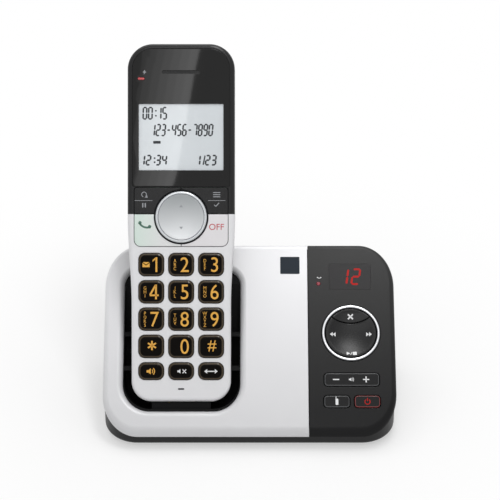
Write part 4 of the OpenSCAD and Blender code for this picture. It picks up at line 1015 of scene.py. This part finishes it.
for names in NAMES[:4]:
    for name in names:
        if name in DRAWN:
            marks = DRAWN[name]
        elif name == "key_pound":
            marks = [glyphs("#", 5.2, 0.95, 0.5, 0.3)]
        else:
            marks = [glyphs(name[-1], 7.0, 0.9, 1.7, 0.0)]
        letters = LETTERS.get(name[-1], "")
        marks += [glyphs(letter, 1.55, 0.9, -2.9, 1.87 * ((len(letters) - 1) / 2 - k))
                  for k, letter in enumerate(letters)]
        key_legend(name, marks + (ENVELOPE if name == "key_1" else []))
key_legend("speaker_key", speaker_icon(-0.3, 0, 1.15))
key_legend("mute_key", speaker_icon(-0.4, 0, 0.85)[:1]
           + [bar(0.7, -0.9, 2.4, 0.9, 0.4), bar(0.7, 0.9, 2.4, -0.9, 0.4)], WHITE_INK)
key_legend("intercom_key", [bar(-2.2, 0, 2.2, 0, 0.5), [(-3.2, 0), (-1.8, -1.1), (-1.8, 1.1)],
                            [(3.2, 0), (1.8, 1.1), (1.8, -1.1)]], WHITE_INK)

ink("talk_legend", handset_icon(-17.6, 83.2, 1.2, -22), HAND, GREEN_INK, "talk_key",
    FUNCTION_TOP)
ink("off_legend", [glyphs("OFF", 2.9, 1.0, 16.8, 83.0)], HAND, RED_INK, "off_key",
    FUNCTION_TOP)
redial = [band(-17.6, 98.4, 1.15, 0.35, -40, 250, 18), bar(-22, 95.5, -13.6, 95.5, 0.24),
          [(-16.2, 98.2), (-15.9, 96.8), (-17.3, 97.0)]]
redial += [rounded(0.6, 2.1, 0.1, 2, x, 93.3) for x in (-18.2, -17.0)]
ink("redial_legend", redial, HAND, GREY_INK, "redial_key", FUNCTION_TOP)
menu = [bar(15.2, y, 18.6, y, 0.4) for y in (99.3, 98.3, 97.3)]
menu += [bar(12.8, 95.5, 21.0, 95.5, 0.24), bar(15.7, 93.5, 16.5, 92.7, 0.4),
         bar(16.4, 92.7, 18.0, 94.4, 0.4)]
ink("menu_legend", menu, HAND, GREY_INK, "menu_key", FUNCTION_TOP)
bolt = [(-17.2, 157.6), (-18.3, 156.3), (-17.4, 156.3), (-18.0, 155.2), (-16.4, 156.7),
        (-17.2, 156.7)]
ink("charge_mark", [bolt], HAND, GREY_INK, "handset", LENS_PROUD)
ink("nav_marks", [[(-0.9, 4.6), (0.9, 4.6), (0, 5.9)], [(0, -5.9), (0.9, -4.6), (-0.9, -4.6)]], NAV,
    GREY_INK, "nav_key", lambda x, y: nav_height(x, y) - NAV_SINK)

SEGMENTS = {"0": "abcdef", "1": "bc", "2": "abged", "3": "abgcd", "4": "fgbc", "5": "afgcd",
            "6": "afgedc", "7": "abc", "8": "abcdefg", "9": "abcdfg", "-": "g"}


def seven(text, x, y, w, h, t, pitch, lean):
    """Outlines of seven-segment characters from x on, w wide and h high, with strokes t wide."""
    polygons, hw, hh = [], w / 2, h / 2
    spans = {"a": (-hw, hh, hw, hh), "b": (hw, 0, hw, hh), "c": (hw, -hh, hw, 0),
             "d": (-hw, -hh, hw, -hh), "e": (-hw, -hh, -hw, 0), "f": (-hw, 0, -hw, hh),
             "g": (-hw, 0, hw, 0)}
    for ch in text:
        if ch == ":":
            polygons += [rounded(t, t, t * 0.2, 2, x, y + k * h * 0.22) for k in (-1, 1)]
        elif ch == "/":
            polygons.append(bar(x - w * 0.25, y - hh, x + w * 0.25, y + hh, t * 0.8))
        for key in SEGMENTS.get(ch, ""):
            x0, y0, x1, y1 = spans[key]
            d = Vector((x1 - x0, y1 - y0)).normalized() * t
            n = Vector((-d.y, d.x)) / 2
            p, q = Vector((x0, y0)) + d * 0.52, Vector((x1, y1)) - d * 0.52
            hexa = [p - d * 0.45, p - n, q - n, q + d * 0.45, q + n, p + n]
            polygons.append([(x + a.x + lean * a.y, y + a.y) for a in hexa])
        x += pitch * (0.6 if ch in ":/" else 1)
    return polygons


lcd = [rounded(3.6, 1.3, 0.3, 2, -11.5, 123.2)]
for line in (("00:15", -17.2, 137, 1.65, 5.4, 0.74, 2.6, 0.03),
             ("123-456-7890", -13.4, 129, 1.6, 5.2, 0.74, 2.5, 0.1),
             ("12:34", -18.4, 114.7, 1.8, 4.4, 0.8, 2.9, 0.1),
             ("1/23", 8.0, 114.7, 1.8, 4.4, 0.8, 2.9, 0.1)):
    lcd += seven(*line)
ink("lcd_segments", lcd, HAND, LCD_INK, "handset", LCD_FACE, 0.02)
ink("led_digits", seven("12", PANEL_X - 2.9, WINDOW_S, 3.4, 7.6, 1.0, 5.8, 0.14), FACE, RED_GLOW,
    "base", thick=0.03)

SKIP_X, SKIP_Y, SKIP_LEN, SKIP_HALF, SKIP_STEP = 8.7, -0.5, 1.33, 1.045, 1.3775
skips = []
for way in (1, -1):
    for tip in (SKIP_X, SKIP_X + SKIP_STEP):
        back = way * (tip - SKIP_LEN)
        skips.append([(back, SKIP_Y - SKIP_HALF), (way * tip, SKIP_Y),
                      (back, SKIP_Y + SKIP_HALF)][::way])
ink("skip_icons", skips, DISC, WHITE_INK, "play_pad", pad_height)
ink("play_icon", [[(-2.2, -11.1), (-0.5, -10.2), (-2.2, -9.3)], bar(-0.35, -11.0, 0.45, -9.4, 0.3),
                  rounded(1.9, 1.7, 0.15, 2, 1.7, -10.2)], DISC, WHITE_INK, "play_pad",
    pad_height)
ink("delete_icon", [bar(-1.3, 7.1, 1.1, 9.5, 0.7), bar(-1.3, 9.5, 1.1, 7.1, 0.7)], DISC, WHITE_INK,
    "delete_key", lambda x, y: delete_height(x, y) + 0.01)
volume = [bar(PANEL_X + x0, ROCKER_S + y0, PANEL_X + x1, ROCKER_S + y1, 0.55)
          for x0, y0, x1, y1 in ((-9, 0, -6, 0), (5.3, 0, 8.3, 0), (6.8, -1.5, 6.8, 1.5))]
ink("volume_icons", volume + speaker_icon(PANEL_X - 0.3, ROCKER_S, 0.7), FACE, WHITE_INK,
    "volume_rocker", PANEL_PROUD)
ink("find_icon", [rounded(1.3, 3.1, 0.4, 3, FIND_X, SMALL_S - 0.2),
                  rounded(0.35, 1.2, 0.15, 2, FIND_X - 0.4, SMALL_S + 1.8)], FACE, WHITE_INK,
    "find_handset_key", PANEL_PROUD)
ink("answer_icon", [band(ANSWER_X, SMALL_S - 0.15, 1.25, 0.4, 125, 415, 24),
                    rounded(0.42, 1.6, 0.15, 2, ANSWER_X, SMALL_S + 0.9)], FACE, RED_GLOW,
    "answer_key", PANEL_PROUD)
ink("in_use_mark", handset_icon(33.8, 77.0, 0.4, 0), FACE, WHITE_INK, "base")
ink("plain_badge", [rounded(9.4, 8.8, 0.4, 3, 19.6, 83.5)], FACE, DARK_INK, "base",
    thick=0.06)

# ---- finishes of the pieces that stay as they are ----

for mat, names in (
        (CRADLE_BLACK, ["cradle_insert"]), (POST, ["pad_pivot"]), (RUBBER, ["rubber_feet"]),
        (BRASS, ["cradle_contacts", "handset_charge_contacts"]), (CELL, ["battery_pack"]),
        (JACK, ["led_display", "line_jack", "power_jack"]),
        (STEEL, ["base_screws", "handset_screws"]),
        (MAT_GREY, ["base_key_membrane", "keypad_membrane"]),
        (BOARD, ["base_key_board", "base_circuit_board", "handset_circuit_board"]),
        (SPEAKER, ["base_speaker", "earpiece_speaker", "handsfree_speaker", "microphone"])):
    for name in names:
        mesh = frame["nodes"][name].data
        mesh.materials.clear()
        mesh.materials.append(mat)

# ---- floor, light and camera ----

# the floor is fully white to the camera and to mirrors, save near the middle, where shadows stay
FLOOR_HALF, FLOOR_WHITE, NEAR, FAR, NEAR_SHARE, SKY_LIGHT = 3, 0.98, 0.08, 0.2, 0.48, 0.55
WHITE = (1, 1, 1, 1)


def seen_by(tree, *rays):
    """The node and output that give 1 for the named kinds of ray and 0 for the others."""
    path = tree.new("LightPath")
    found = path, rays[0]
    for ray in rays[1:]:
        either = tree.new("Math", operation="MAXIMUM")
        tree.join((*found, either, 0), (path, ray, either, 1))
        found = either, 0
    return found


def floor():
    me = bpy.data.meshes.new("floor")
    corners = ((-1, -1), (1, -1), (1, 1), (-1, 1))
    me.from_pydata([(x * FLOOR_HALF, y * FLOOR_HALF, 0) for x, y in corners], [], [(0, 1, 2, 3)])
    m = bpy.data.materials.new("floor_white")
    tree = Tree(m)
    shader = tree.nodes["Principled BSDF"]
    set_inputs(shader, {"Base Color": (FLOOR_WHITE, FLOOR_WHITE, FLOOR_WHITE, 1), "Roughness": 0.9,
                        "Specular IOR Level": 0.1})
    where, far = tree.new("TexCoord"), tree.new("VectorMath", operation="LENGTH")
    clean = tree.new("MapRange", {"From Min": NEAR, "From Max": FAR, "To Min": NEAR_SHARE})
    clean.interpolation_type = "SMOOTHSTEP"
    share = tree.new("Math", operation="MULTIPLY")
    glow, both = tree.new("Emission"), tree.new("MixShader")
    tree.join((where, "Object", far, 0), (far, "Value", clean, "Value"),
              (*seen_by(tree, "Is Camera Ray", "Is Glossy Ray"), share, 0),
              (clean, "Result", share, 1), (share, 0, both, "Fac"), (shader, "BSDF", both, 1),
              (glow, "Emission", both, 2), (both, 0, tree.nodes["Material Output"], "Surface"))
    me.materials.append(m)
    linked("floor", me)


def world():
    w = bpy.data.worlds.new("studio")
    tree = Tree(w)
    light = tree.new("Background", {"Color": WHITE, "Strength": SKY_LIGHT})
    clear = tree.new("Background", {"Color": WHITE})
    both = tree.new("MixShader")
    seen = seen_by(tree, "Is Camera Ray", "Is Glossy Ray", "Is Transmission Ray")
    tree.join((*seen, both, "Fac"), (light, 0, both, 1), (clear, 0, both, 2),
              (both, 0, tree.nodes["World Output"], "Surface"))
    bpy.context.scene.world = w


def area_light(name, width, height, watts):
    data = bpy.data.lights.new(name, "AREA")
    data.shape = "RECTANGLE"
    data.size, data.size_y = width, height
    data.energy = watts
    return linked(name, data)


floor()
world()
# place and aim in mm, width and height in m, watts
for name, place, aim, width, height, watts in (
        ("top_light", (70, 25, 560), (10, 0, 30), 0.22, 0.11, 0.8),
        ("back_light", (-60, 430, 800), (0, 10, 40), 0.9, 0.5, 1.8),
        ("front_light", (0, -470, 930), (0, 0, 60), 0.5, 0.25, 0.6)):
    o = area_light(name, width, height, watts)
    o.location = (Vector(place) + Vector((0, MID_Y, 0))) * MM
    o.rotation_euler = (Vector(aim) - Vector(place)).to_track_quat("-Z", "Y").to_euler()

FOCAL, SENSOR, ELEVATION, DISTANCE, RISE, ASIDE = 137.66, 36, 35, 940, 71.8, 0.2
camera_data = bpy.data.cameras.new("camera")
camera_data.lens, camera_data.sensor_width, camera_data.clip_end = FOCAL, SENSOR, 20
camera = linked("camera", camera_data)
e = radians(ELEVATION)
camera.location = (ASIDE * MM, (MID_Y - DISTANCE * cos(e) + RISE * sin(e)) * MM,
                   (DISTANCE * sin(e) + RISE * cos(e)) * MM)
camera.rotation_euler = (radians(90 - ELEVATION), 0, 0)
bpy.context.scene.camera = camera
bpy.context.scene.view_settings.view_transform = "Standard"

# Strip lamps beside the camera give the display lens its slanting reflection: they share the right
# edge, so that it is sharp there and fades to the left. Each lies 2 mm behind the last.
SHEEN_X, SHEEN_Y, SHEEN_TALL, SHEEN_TILT, SHEEN_LIGHT, SHEEN_STEP = -58, 139, 260, -10, 0.46, 8
for back in range(7):
    width = SHEEN_STEP * (back + 1)
    watts = SHEEN_LIGHT * pi * width * SHEEN_TALL * MM * MM
    strip = area_light("lens_sheen", width * MM, SHEEN_TALL * MM, watts)
    strip.matrix_world = (Matrix.LocRotScale(camera.location, camera.rotation_euler, None)
                          @ shift(SHEEN_X, SHEEN_Y, 0)
                          @ Matrix.Rotation(radians(SHEEN_TILT), 4, "Z")
                          @ shift(-width / 2, 0, 2 * back))
